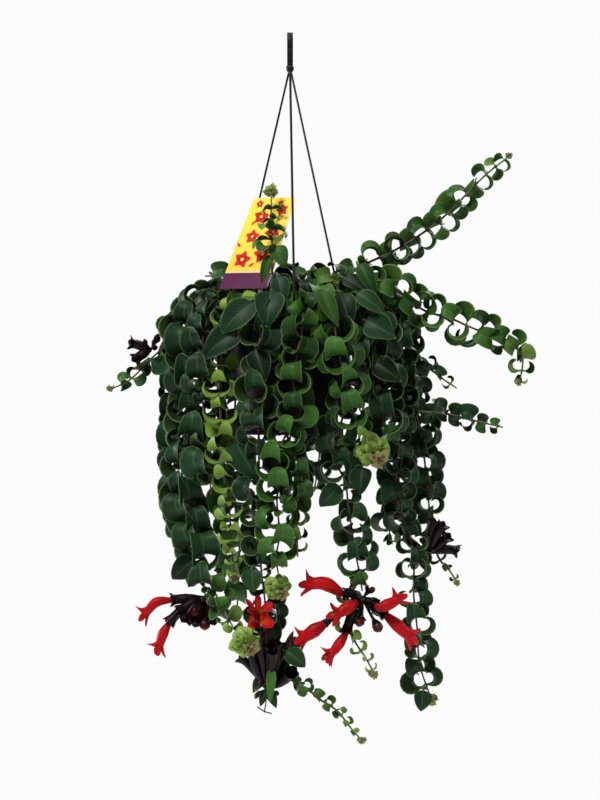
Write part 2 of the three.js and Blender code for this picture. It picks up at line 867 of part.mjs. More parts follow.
// Twelve pointed leaves stand out all round from a small core.
function makeRosette({ name, at, size }) {
  const ball = mergeVertices(bareOf(new THREE.IcosahedronGeometry(1, 1)), MERGE);
  const spikes = bareOf(new THREE.IcosahedronGeometry(1)).attributes.position;
  const tips = Array.from({ length: spikes.count }, (_, k) => vec().fromBufferAttribute(spikes, k));
  const position = ball.attributes.position;
  const points = [];
  for (let k = 0; k < position.count; k++) {
    const p = vec().fromBufferAttribute(position, k);
    const isTip = tips.some((tip) => tip.distanceTo(p) < 0.1);
    p.multiplyScalar((size / 2) * (isTip ? 1 : ROSETTE_HOLLOW)).add(vec(...at));
    position.setXYZ(k, p.x, p.y, p.z);
    points.push(p);
  }
  place(name, points, FLOWER_CLEAR);
  addNode(name, solidOf(ball), MATERIALS.lime);
}

// ---------------------------------------------------------------- where the stems run

// root: where the stem leaves the soil. via: the points that it passes, ending at its tip.
// Each stem may have branches, which start on it.
const STEMS = [
  {
    name: "stem_front_centre",
    look: "bright",
    root: [10, -32],
    leaf: 46,
    via: [
      [15, -60, -321],
      [16, -88, -330],
      [12, -102, -358],
      [4, -105, -405],
      [8, -107, -439],
      [-6, -109, -473],
      [-17, -109, -500],
      [-12, -107, -524],
      [-15, -105, -547],
      [-12, -103, -586],
      [-16, -101, -611],
      [-13, -100, -634],
    ],
    branches: [
      {
        leaf: 30,
        via: [
          [-4, -109, -468],
          [5, -104, -500],
          [7, -102, -535],
          [8, -100, -575],
          [9, -100, -612],
        ],
      },
    ],
  },
  {
    name: "stem_upper_right",
    look: "leaf",
    root: [26, 20],
    leaf: 48,
    heading: 0,
    via: [
      [52, 18, -306],
      [78, 13, -276],
      [128, 4, -251],
      [178, 0, -217],
      [227, -4, -168],
      [258, -6, -143],
    ],
  },
  {
    name: "stem_right_arm",
    look: "leaf",
    root: [42, -36],
    leaf: 48,
    heading: 0,
    via: [
      [62, -36, -312],
      [90, -44, -297],
      [123, -50, -301],
      [156, -50, -325],
      [186, -50, -334],
      [211, -50, -345],
      [236, -50, -355],
      [258, -50, -365],
      [271, -50, -378],
      [271, -50, -395],
      [267, -50, -410],
    ],
  },
  {
    name: "stem_right_long",
    look: "leaf",
    root: [48, -4],
    leaf: 44,
    via: [
      [74, -12, -317],
      [100, -20, -316],
      [122, -25, -330],
      [131, -28, -362],
      [130, -29, -430],
      [126, -30, -490],
      [126, -30, -527],
      [130, -30, -560],
      [137, -30, -580],
      [145, -30, -610],
      [145, -30, -658],
      [149, -30, -698],
      [151, -30, -735],
      [156, -30, -754],
      [164, -30, -776],
    ],
    branches: [
      {
        leaf: 30,
        heading: 0,
        via: [
          [130, -29, -428],
          [154, -38, -443],
          [178, -42, -445],
          [203, -44, -451],
          [249, -44, -462],
        ],
      },
    ],
  },
  {
    name: "stem_left_long",
    look: "leaf",
    root: [-46, -12],
    leaf: 50,
    via: [
      [-72, -22, -318],
      [-98, -30, -314],
      [-116, -36, -334],
      [-118, -38, -372],
      [-116, -38, -430],
      [-119, -38, -477],
      [-122, -38, -513],
      [-115, -38, -559],
      [-105, -38, -610],
      [-101, -38, -634],
      [-100, -38, -655],
    ],
    branches: [
      {
        leaf: 26,
        via: [
          [-103, -38, -622],
          [-95, -50, -640],
          [-84, -70, -661],
          [-73, -90, -681],
          [-62, -106, -699],
        ],
      },
    ],
  },
  {
    name: "stem_front_left",
    look: "leaf",
    root: [-8, -40],
    leaf: 44,
    via: [
      [-12, -62, -321],
      [-27, -88, -332],
      [-36, -98, -370],
      [-37, -98, -430],
      [-36, -96, -477],
      [-36, -94, -527],
      [-35.5, -92, -583],
      [-33, -88, -630],
      [-29, -80, -664],
      [-26, -74, -700],
      [-25, -73, -735],
      [-27, -78, -757],
    ],
    branches: [
      {
        leaf: 22,
        via: [
          [-25, -73, -738],
          [-12, -70, -750],
          [4, -72, -757],
          [20, -80, -766],
          [38, -86, -780],
          [55, -88, -791],
          [70, -88, -810],
          [84, -88, -826],
        ],
      },
    ],
  },
  {
    name: "stem_right_flower",
    look: "leaf",
    root: [30, -30],
    leaf: 44,
    via: [
      [50, -50, -321],
      [70, -64, -330],
      [75, -76, -366],
      [66, -82, -430],
      [52, -84, -492],
      [64, -84, -524],
      [68, -84, -553],
      [75, -82, -601],
      [81, -80, -632],
      [84, -79, -652],
    ],
    branches: [
      {
        leaf: 24,
        via: [
          [80, -80, -628],
          [70, -66, -650],
          [66, -60, -680],
          [74, -62, -708],
          [88, -72, -730],
          [98, -78, -748],
        ],
      },
    ],
  },
  {
    name: "stem_right_front",
    look: "bright",
    root: [18, -36],
    leaf: 47,
    via: [
      [32, -62, -317],
      [42, -88, -322],
      [51, -104, -344],
      [58, -110, -385],
      [68, -112, -424],
      [77, -110, -456],
      [86, -108, -472],
    ],
  },
  {
    name: "stem_lime",
    look: "lime",
    root: [-32, -28],
    leaf: 30,
    via: [
      [-52, -52, -320],
      [-68, -70, -328],
      [-78, -80, -362],
      [-81, -82, -430],
      [-77, -82, -500],
      [-72, -82, -536],
      [-68, -80, -594],
      [-65, -78, -637],
    ],
  },
  {
    name: "stem_right_outer",
    look: "leaf",
    root: [48, 8],
    leaf: 46,
    via: [
      [74, 16, -314],
      [100, 20, -305],
      [122, 20, -322],
      [134, 16, -356],
      [142, 12, -395],
      [150, 12, -440],
      [157, 8, -488],
      [163, 5, -545],
      [164, 4, -576],
      [162, 3, -603],
    ],
    branches: [
      {
        leaf: 18,
        via: [
          [164, 5, -580],
          [170, 14, -602],
          [177, 16, -619],
          [188, 12, -631],
          [197, 8, -645],
        ],
      },
      {
        leaf: 26,
        heading: 0,
        via: [
          [136, 15, -366],
          [154, 6, -384],
          [177, -4, -403],
          [196, -8, -416],
        ],
      },
    ],
  },
  {
    name: "stem_left_outer",
    look: "leaf",
    root: [-48, 8],
    leaf: 43,
    heading: 180,
    via: [
      [-76, 4, -312],
      [-100, -2, -312],
      [-122, -6, -334],
      [-143, -8, -362],
      [-166, -10, -384],
      [-189, -12, -407],
      [-211, -12, -417],
    ],
  },
  {
    name: "stem_left_inner",
    look: "leaf",
    root: [-40, -22],
    leaf: 47,
    via: [
      [-64, -38, -319],
      [-88, -54, -324],
      [-101, -64, -356],
      [-104, -66, -410],
      [-99, -66, -450],
      [-95, -64, -492],
      [-92, -62, -540],
    ],
  },
  {
    name: "stem_right_middle",
    look: "leaf",
    root: [40, -16],
    leaf: 45,
    via: [
      [64, -32, -319],
      [86, -48, -322],
      [101, -58, -350],
      [106, -62, -383],
      [110, -64, -442],
      [112, -64, -486],
    ],
  },
  {
    name: "stem_label_shoot",
    look: "leaf",
    root: [-20, -56],
    leaf: 26,
    heading: -90,
    via: [
      [-20, -62, -302],
      [-21, -58, -270],
      [-21, -46, -239],
      [-22, -32, -212],
      [-22, -28, -196],
    ],
  },
  {
    name: "shoot_crown_right",
    look: "bright",
    root: [26, -6],
    leaf: 44,
    heading: -60,
    via: [
      [30, -14, -312],
      [40, -26, -290],
      [58, -40, -282],
    ],
  },
  {
    name: "shoot_crown_left",
    look: "leaf",
    root: [-34, 10],
    leaf: 48,
    heading: 180,
    via: [
      [-46, 10, -316],
      [-76, 6, -286],
      [-100, 2, -284],
    ],
  },
  {
    name: "shoot_crown_centre",
    look: "leaf",
    root: [2, -6],
    leaf: 44,
    heading: -90,
    via: [
      [4, -10, -318],
      [10, -18, -292],
      [20, -34, -280],
    ],
  },
  {
    name: "shoot_crown_back",
    look: "leaf",
    root: [-4, 26],
    leaf: 46,
    heading: 90,
    via: [
      [-4, 30, -316],
      [-8, 40, -290],
      [-12, 62, -282],
    ],
  },
];

// The stems that hang behind the pot: angle round the pot, how far out, and how low.
const BACK_STEMS = [
  [21, 136, -600],
  [50, 124, -510],
  [72, 134, -540],
  [94, 118, -560],
  [116, 130, -690],
  [138, 120, -530],
  [167, 130, -605],
];

function backStem([angle, reach, low], k) {
  const drift = k % 2 ? -5 : 5;
  const point = (radius, turn, z) => polar(radius, angle + turn, z).toArray();
  return {
    name: "stem_back_" + (k + 1),
    look: k % 3 === 1 ? "bright" : "leaf",
    root: polar(40 + (k % 2) * 8, angle, 0).toArray().slice(0, 2),
    leaf: 48,
    internode: BACK_INTERNODE,
    via: [
      point(72, 0, RIM_Z + 16),
      point(reach * 0.78, 0, RIM_Z + 18 - (k % 2) * 8),
      point(reach, drift * 0.4, RIM_Z - 22),
      point(reach + 2, drift, (RIM_Z + low) / 2),
      point(reach - 2, drift * 0.5, low * 0.75 + RIM_Z * 0.25),
      point(reach - 6, drift, low),
    ],
  };
}

const BACK_INTERNODE = 37;
const STEM_SEED = 101;
const BRANCH_SEED = 5003;
const SEED_STEP = 37;
const DEFAULTS = { internode: 34, roll: radians(262), aspect: LEAF_ASPECT, bare: 34 };

function sideOf(stem, points) {
  const far = points[Math.min(4, points.length - 1)];
  const bearing =
    stem.heading === undefined ? Math.atan2(far.y, far.x) : radians(stem.heading);
  return vec(-Math.sin(bearing), Math.cos(bearing), 0);
}

// Every stem and branch as a smooth line. A stem stands straight in its hole in the soil.
function shootsOf(stems) {
  return stems.flatMap((stem, k) => {
    const [x, y] = stem.root;
    const heights = [-ROOT_DEPTH, ...ROOT_RISES].map((rise) => SOIL_Z + rise);
    const points = [...heights.map((z) => vec(x, y, z)), ...stem.via.map((p) => vec(...p))];
    const path = { ...trace(points), side: sideOf(stem, points) };
    const branches = (stem.branches || []).map((branch, b) => {
      const shoot = { ...stem, ...branch, bare: BRANCH_BARE };
      const line = branch.via.map((p) => vec(...p));
      const way = { ...trace(line), side: sideOf(shoot, line) };
      return { stem: shoot, seed: BRANCH_SEED + SEED_STEP * k + b, path: way };
    });
    return [{ stem, seed: STEM_SEED + SEED_STEP * k, path }, ...branches];
  });
}

function makeStems(stems) {
  const shoots = shootsOf(stems);
  for (const { stem, path } of shoots) {
    const count = Math.ceil(path.length / MARK_STEP);
    const points = [];
    for (let i = 0; i <= count; i++) points.push(pointAt(path, (path.length * i) / count));
    for (let i = 0; i < points.length; i += MARKS_TOGETHER) {
      place(stem.name, points.slice(i, i + MARKS_TOGETHER + 1), STEM_CLEAR);
    }
  }
  const solids = new Map(stems.map(({ name }) => [name, []]));
  for (const { stem, seed, path } of shoots) {
    const { leaves, pairs } = leavesOf(stem, path, dice(seed));
    const blades = leaves.map(({ leaf, young }) =>
      leafSolid(leaf, young < 0.5 || stem.leaf < SMALL_LEAF ? YOUNG_STATIONS : LEAF_STATIONS),
    );
    solids.get(stem.name).push(stemSolid(path, pairs), ...blades);
  }
  for (const { name, look } of stems) addNode(name, union(solids.get(name)), MATERIALS[look]);
}

// ---------------------------------------------------------------- the whole

makeHanger();
makePot();
makeSaucer();
makeLabel();
makeFlowers();
ROSETTES.forEach(makeRosette);
const stems = [...STEMS, ...BACK_STEMS.map(backStem)].map((stem) => ({ ...DEFAULTS, ...stem }));
makeStems(stems);
const roots = stems.map(({ root: [x, y] }) => ({ x, y, radius: HOLE_RADIUS }));
makeSoil([...roots, STICK_ROOT]);

export default group;
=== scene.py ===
"""A lipstick plant with rolled leaves, in the hanging pot that it is sold in.

Lengths in the lists below are in millimetres, with +Z up and the origin at the seat of the hook.
"""

import math
from collections import namedtuple

import bpy
import numpy as np
from bpy.props import FloatProperty, FloatVectorProperty, IntProperty, PointerProperty
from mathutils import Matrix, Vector, noise


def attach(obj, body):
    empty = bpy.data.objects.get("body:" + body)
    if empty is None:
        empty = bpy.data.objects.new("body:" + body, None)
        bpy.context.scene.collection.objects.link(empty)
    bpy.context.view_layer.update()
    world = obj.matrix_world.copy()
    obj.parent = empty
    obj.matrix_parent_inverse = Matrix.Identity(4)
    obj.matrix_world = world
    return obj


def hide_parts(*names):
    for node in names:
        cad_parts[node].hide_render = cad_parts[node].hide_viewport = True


bl_info = {
    "name": "Hanging lipstick plant",
    "version": (1, 0, 0),
    "blender": (4, 5, 0),
    "location": "View3D > Sidebar > Plant",
    "description": "Builds a lipstick plant with rolled leaves in its hanging pot",
    "category": "Add Mesh",
}

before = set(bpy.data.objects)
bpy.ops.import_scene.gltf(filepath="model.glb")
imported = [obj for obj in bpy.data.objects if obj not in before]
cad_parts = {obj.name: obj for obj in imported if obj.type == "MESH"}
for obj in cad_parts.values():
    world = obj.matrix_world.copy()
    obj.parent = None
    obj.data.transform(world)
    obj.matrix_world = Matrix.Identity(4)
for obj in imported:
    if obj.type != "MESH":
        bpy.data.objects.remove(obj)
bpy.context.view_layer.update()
MM = 0.001

# Hook and arms of the hanger
HOOK_WIDTH = 7
HOOK_THICK = 2.8
HOOK_RADIUS = 8
HOOK_LIP = 5
HOOK_CORNER = 0.7
HOOK_TAPER = 0.9
BOSS_TOP = -36
BOSS_BOTTOM = -44
BOSS_RADIUS = 4.6
BOSS_SIDES = 40
ARM_WIDTH = 2.8
ARM_THICK = 1.8
ARM_CORNER = 0.6
ARM_START = 1.6
ARM_RINGS = 24
HANGER_ROUGHER = 0.04
ARM_ANGLES = {"hanger_arm_front": -86, "hanger_arm_right": 34, "hanger_arm_left": 154}
CLIP_WIDTH = 7
CLIP_THICK = 1.8
CLIP_REACH = 6
CLIP_CORNER = 0.5
CLIP_BEND = 1.2
CLIP_STEPS = 5
ARM_MARKS = 70
FOOT_ROOM = 4
GAP = 0.3

# Pot, saucer and soil
RIM_Z = -335
RIM_RADIUS = 76
RIM_BAND = 10
RIM_THICK = 3.2
POT_RADIUS = 73.5
POT_BASE_RADIUS = 54
POT_BASE_Z = -469
POT_WALL = 1.8
POT_SIDES = 28
SAUCER_RADIUS = 61
SAUCER_BASE_RADIUS = 57
SAUCER_HEIGHT = 12
SAUCER_WALL = 1.6
STUD_RADIUS = 5
STUD_HEAD_RADIUS = 7
SOIL_Z = RIM_Z - 10
SOIL_CROWN = 3
SOIL_SIDES = 72
SOIL_RINGS = 34
CRUMB_SCALE = 0.16
CRUMB_HEIGHT = 2.2
CRUMB_LIMITS = (-2.5, 1.2)
ROOT_DEPTH = 16
ROOT_RISES = (4, 12)

# Rounding: the steps round a corner, the share of a wall that it may take up, how far beside it the
# ring stands that keeps the wall flat, and how near to its axis a turned shape starts
BAR_STEPS = 3
TURNED_STEPS = 4
CORNER_SHARE = 0.4
BESIDE = 0.6
BESIDE_SHARE = 0.08
AXIS_RADIUS = 0.3
POT_CORNER = 0.8
SAUCER_CORNER = 0.6
TURNED_SIDES = 112

# Stems and leaves. Where a name has two numbers, chance adds up to the second one to the first.
STEM_RADIUS = 1.7
STEM_SIDES = 8
SPAN_STEPS = 12
BRANCH_BARE = 10
MARK_STEP = 4
MARK_GROUP = 8
LEAF_LIFT = (0.15, 0.4)
LEAF_SHARE = (0.84, 0.3)
LEAF_WOBBLE = 0.7
FINE_LENGTH = 24
YOUNG_STALK = 70
PAIR_DRIFT = 0.9
LIGHT_RISE = 60
YOUNG_SIZE = 0.4
YOUNG_INTERNODE = 0.75
ROLL_STEPS = 32
LEAF_MARKS = (0.18, 0.28, 0.38, 0.48, 0.58, 0.68, 0.78, 0.88, 0.97)
LEAF_SIDES = (-1, -0.66, -0.33, 0, 0.33, 0.66, 1)
BROAD_STALK = 1.3
STALK_LEAST = 1.0
BROAD_LIFT = 0.25

# Where the random draws of each kind of piece start, how far on those of the next one do, and the
# number that the first crown shoot counts as
STEM_SEED = 101
BRANCH_SEED = 5003
FLOWER_SEED = 701
ROSETTE_SEED = 911
TIP_SEED = 1051
BROAD_SEED = 1301
CROWN_SEED = 2003
SEED_STEP = 37
CROWN_FIRST = 60

# How near one leaf may come to other things
LEAF_CLEAR = 1.9
OWN_CLEAR = 1.2
STEM_CLEAR = 2.0
FLOWER_CLEAR = 2.2
POT_CLEAR = 1.4

# The angle between two faces, in degrees, from which their edge is drawn sharp
HARD_SHARP = 40
PETAL_SHARP = 60
LEAF_SHARP = 70
SOIL_SHARP = 180

Stem = namedtuple(
    "Stem",
    "name look root leaf via branches heading bare fresh curl vary finish",
    defaults=((), None, 26, 60, 1, 0.45, 0),
)
Branch = namedtuple("Branch", "leaf via heading finish fresh", defaults=(None, 0, 40))
Sheath = namedtuple("Sheath", "end radius bud bow", defaults=(5.6, False, None))
Corolla = namedtuple("Corolla", "path thick spread", defaults=(1, 1))
Cluster = namedtuple("Cluster", "name hub sheaths corollas")

# Every stem that shows, with its name, look, place in the soil, length of leaf and line
STEMS = (
    Stem("stem_front_centre", "bright", (10, -32), 41, fresh=20, curl=0.85, via=(
        (15, -60, -321), (16, -88, -330), (12, -102, -358), (4, -105, -405), (8, -107, -439),
        (-6, -109, -473), (-17, -109, -500), (-12, -107, -524), (-15, -105, -547),
        (-12, -103, -586), (-16, -101, -611), (-13, -100, -634),
    ), branches=(
        Branch(30, via=(
            (-4, -109, -468), (5, -104, -500), (7, -102, -535), (8, -100, -575), (9, -100, -612),
        )),
    )),
    Stem("stem_upper_right", "leaf", (26, 20), 37, heading=0, curl=0.9, vary=0.45, finish=1, via=(
        (52, 18, -306), (78, 13, -276), (128, 4, -251), (178, 0, -217), (227, -4, -168),
        (258, -6, -143),
    )),
    Stem("stem_right_arm", "leaf", (42, -36), 40, heading=0, curl=0.9, vary=0.45, finish=1, via=(
        (62, -36, -312), (90, -44, -297), (123, -50, -301), (156, -50, -325), (186, -50, -334),
        (211, -50, -345), (236, -50, -355), (258, -50, -365), (271, -50, -378), (271, -50, -395),
        (267, -50, -410),
    )),
    Stem("stem_right_long", "leaf", (48, -4), 39, fresh=14, vary=0.3, via=(
        (74, -12, -317), (100, -20, -316), (122, -25, -330), (131, -28, -362), (130, -29, -430),
        (126, -30, -490), (126, -30, -527), (130, -30, -560), (137, -30, -580), (145, -30, -610),
        (145, -30, -658), (149, -30, -698), (151, -30, -735), (156, -30, -754), (164, -30, -776),
    ), branches=(
        Branch(30, heading=0, via=(
            (130, -29, -428), (154, -38, -443), (178, -42, -445), (203, -44, -451),
            (249, -44, -462),
        )),
    )),
    Stem("stem_left_long", "leaf", (-46, -12), 50, fresh=10, curl=0.85, via=(
        (-72, -22, -318), (-98, -30, -314), (-116, -36, -334), (-118, -38, -372),
        (-116, -38, -430), (-119, -38, -477), (-122, -38, -513), (-115, -38, -559),
        (-105, -38, -610), (-101, -38, -634), (-100, -38, -655),
    ), branches=(
        Branch(32, via=(
            (-103, -38, -622), (-95, -50, -640), (-84, -70, -661), (-73, -90, -681),
            (-62, -106, -699),
        ), finish=1),
    )),
    Stem("stem_front_left", "leaf", (-8, -40), 44, fresh=20, via=(
        (-12, -62, -321), (-27, -88, -332), (-36, -98, -370), (-37, -98, -430), (-36, -96, -477),
        (-36, -94, -527), (-35.5, -92, -583), (-33, -88, -630), (-29, -80, -664), (-26, -74, -700),
        (-25, -73, -735), (-27, -78, -757),
    ), branches=(
        Branch(22, via=(
            (-25, -73, -738), (-12, -70, -750), (4, -72, -757), (20, -80, -766), (38, -86, -780),
            (55, -88, -791), (70, -88, -810), (84, -88, -826),
        ), finish=1, fresh=70),
    )),
    Stem("stem_right_flower", "leaf", (30, -30), 41, fresh=18, curl=0.85, via=(
        (50, -50, -321), (70, -64, -330), (75, -76, -366), (66, -82, -430), (52, -84, -492),
        (64, -84, -524), (68, -84, -553), (75, -82, -601), (81, -80, -632), (84, -79, -652),
    ), branches=(
        Branch(24, via=(
            (80, -80, -628), (70, -66, -650), (66, -60, -680), (74, -62, -708), (88, -72, -730),
            (98, -78, -748),
        ), finish=2, fresh=60),
    )),
    Stem("stem_right_front", "bright", (18, -36), 43, fresh=20, curl=0.8, via=(
        (32, -62, -317), (42, -88, -322), (51, -104, -344), (58, -110, -385), (68, -112, -424),
        (77, -110, -456), (86, -108, -472),
    )),
    Stem("stem_lime", "lime", (-32, -28), 30, fresh=110, curl=0.6, via=(
        (-52, -52, -320), (-68, -70, -328), (-78, -80, -362), (-81, -82, -430), (-77, -82, -500),
        (-72, -82, -536), (-68, -80, -594), (-65, -78, -637),
    )),
    Stem("stem_right_outer", "leaf", (48, 8), 42, fresh=14, curl=0.9, via=(
        (74, 16, -314), (100, 20, -305), (122, 20, -322), (134, 16, -356), (142, 12, -395),
        (150, 12, -440), (157, 8, -488), (163, 5, -545), (164, 4, -576), (162, 3, -603),
    ), branches=(
        Branch(18, via=(
            (164, 5, -580), (170, 14, -602), (177, 16, -619), (188, 12, -631), (197, 8, -645),
        )),
        Branch(26, heading=0, via=(
            (136, 15, -366), (154, 6, -384), (177, -4, -403), (196, -8, -416),
        )),
    )),
    Stem("stem_left_outer", "leaf", (-48, 8), 43, heading=180, via=(
        (-76, 4, -312), (-100, -2, -312), (-122, -6, -334), (-143, -8, -362), (-166, -10, -384),
        (-189, -12, -407), (-211, -12, -417),
    )),
    Stem("stem_left_inner", "leaf", (-40, -22), 47, fresh=20, curl=0.8, via=(
        (-64, -38, -319), (-88, -54, -324), (-101, -64, -356), (-104, -66, -410), (-99, -66, -450),
        (-95, -64, -492), (-92, -62, -540),
    )),
    Stem("stem_right_middle", "leaf", (40, -16), 45, fresh=20, curl=0.85, via=(
        (64, -32, -319), (86, -48, -322), (101, -58, -350), (106, -62, -383), (110, -64, -442),
        (112, -64, -486),
    )),
    Stem("stem_label_shoot", "leaf", (-20, -56), 36, heading=-90, fresh=90, curl=0.6, via=(
        (-20, -62, -302), (-21, -58, -270), (-21, -46, -239), (-22, -32, -212), (-22, -28, -196),
    ), finish=1),
    Stem("shoot_crown_right", "bright", (26, -6), 44, heading=-60, fresh=20, via=(
        (30, -14, -312), (40, -26, -290), (58, -40, -282),
    )),
    Stem("shoot_crown_left", "leaf", (-34, 10), 44, heading=180, fresh=20, via=(
        (-46, 10, -316), (-76, 6, -286), (-100, 2, -284),
    )),
    Stem("shoot_crown_centre", "leaf", (2, -6), 44, heading=-90, fresh=20, via=(
        (4, -10, -318), (10, -18, -292), (20, -34, -280),
    )),
    Stem("shoot_crown_back", "leaf", (-4, 26), 46, heading=90, fresh=20, via=(
        (-4, 30, -316), (-8, 40, -290), (-12, 62, -282),
    )),
)

# Where each cluster's sheaths leave the stem, its sheaths and buds, and its red flowers
CLUSTERS = (
    Cluster("left", (-99, -38, -661), (
        Sheath((-138, -40, -664)),
        Sheath((-141, -44, -690)),
        Sheath((-122, -52, -686), radius=6.4),
        Sheath((-110, -44, -692), radius=6.4, bow=(-106, -40, -676)),
        Sheath((-100, -54, -697), radius=6.6, bud=True, bow=(-99, -36, -688)),
        Sheath((-90, -46, -688), radius=6.2, bow=(-94, -40, -676)),
        Sheath((-129, -32, -679), radius=6.2),
        Sheath((-104, -26, -684), radius=6),
        Sheath((-113, -58, -682), radius=6, bud=True, bow=(-108, -44, -668)),
        Sheath((-128, -50, -676), radius=5.4, bow=(-112, -46, -664)),
        Sheath((-92, -56, -680), radius=5, bud=True, bow=(-93, -46, -668)),
    ), (
        Corolla(((-138.7, -40, -664), (-157, -40, -667), (-170, -40, -682)), 0.95),
        Corolla(((-141.4, -44, -690.7), (-149, -45, -705), (-153, -45, -720))),
    )),
    Cluster("right", (84, -79, -660), (
        Sheath((62, -84, -656)),
        Sheath((78, -96, -664)),
        Sheath((98, -90, -668)),
        Sheath((110, -76, -679)),
        Sheath((42, -82, -689), radius=3.4),
        Sheath((66, -90, -699)),
        Sheath((97, -95, -648), radius=3.6, bud=True),
        Sheath((80.4, -101, -688), radius=6, bud=True, bow=(81, -84, -690)),
        Sheath((103.4, -96, -695.6), radius=6.3, bud=True, bow=(102, -80, -695)),
        Sheath((80, -60, -686)),
        Sheath((102, -56, -674)),
    ), (
        Corolla(((61.2, -84, -655.6), (40, -88, -643), (20, -90, -645)), 1.34, 1.1),
        Corolla(((77.4, -96.6, -664.4), (66, -103, -671), (54, -108, -679)), 1.2),
        Corolla((
            (98.9, -90.7, -668.8), (106, -92, -670), (117, -91, -666), (127, -89, -661),
        ), 1.15),
        Corolla(((110.7, -76, -679.5), (127, -76, -694), (141, -74, -708)), 1.22),
        Corolla(((41.3, -82, -689.5), (28, -82, -698), (14, -80, -708)), 1.35),
        Corolla(((65.7, -90.3, -699.8), (55, -94, -716), (46, -95, -727))),
    )),
    Cluster("front", (-27, -84, -767), (
        Sheath((-40, -88, -722), radius=5.4),
        Sheath((-58, -88, -729), radius=5),
        Sheath((1, -94, -746), radius=6.4, bow=(-4, -78, -755)),
        Sheath((8, -60, -712)),
        Sheath((-24, -97, -716)),
        Sheath((-14, -92, -713)),
        Sheath((4, -88, -698), radius=3.8, bud=True),
        Sheath((-27, -99, -694), radius=4.2, bud=True),
        Sheath((-38, -106, -698), radius=5, bow=(-32, -96, -730)),
        Sheath((-48, -101, -706), radius=4.6, bow=(-44, -96, -740)),
        Sheath((-20, -103, -724), radius=4.6, bow=(-20, -94, -750)),
    ), (
        Corolla((
            (-40.2, -88, -721.2), (-43, -85, -704), (-41, -84, -689), (-37, -97, -675),
        ), 1.25, 1.9),
    )),
    Cluster("outer_right", (161, 2, -611), (
        Sheath((168.5, -12, -573)),
        Sheath((180, -14, -577)),
        Sheath((185, -8, -591)),
        Sheath((197, -2, -608)),
        Sheath((159, -18, -624), radius=6.2, bud=True, bow=(158, 0, -624)),
        Sheath((136, -4, -591)),
    ), (
    )),
    Cluster("outer_left", (-163, -13.5, -371), (
        Sheath((-187, -18, -363)),
        Sheath((-181, -20, -382)),
    ), (
    )),
)

# A tight bunch of small pale leaves at the end of a shoot: where it is and how far across.
ROSETTES = {
    "rosette_centre": ((-13, -101, -650), 28),
    "rosette_right": ((97, -104, -492), 38),
    "rosette_left": ((-50, -112, -712), 34),
    "rosette_label": ((-22, -26, -186), 16),
}

# Brown bunches, too small for a node, at the ends of stems.
TIP_BUNCHES = (
    ((167, -30, -782), 14), ((197, 8, -646), 8), ((-64, -78, -638), 12), ((98, -78, -750), 10),
    ((84, -88, -826), 9), ((258, -6, -143), 8), ((-211, -12, -417), 8), ((267, -50, -410), 8),
)

# Threads left by a fallen flower, with the bar that each ends in.
PISTILS = {"front": (
    ((-27, -86, -768), (-27, -86, -781), (-30, -86, -793)),
    ((-38, -86, -786), (-30, -86, -793), (-21, -86, -794)),
)}

PISTIL_RADIUS = 0.8
PISTIL_SIDES = 6

# The stems that hang behind the pot: angle round the pot, how far out, and how low.
BACK_STEMS = (
    (21, 136, -600), (50, 124, -510), (72, 134, -540), (94, 118, -560),
    (116, 130, -690), (138, 120, -530), (167, 130, -605),
)

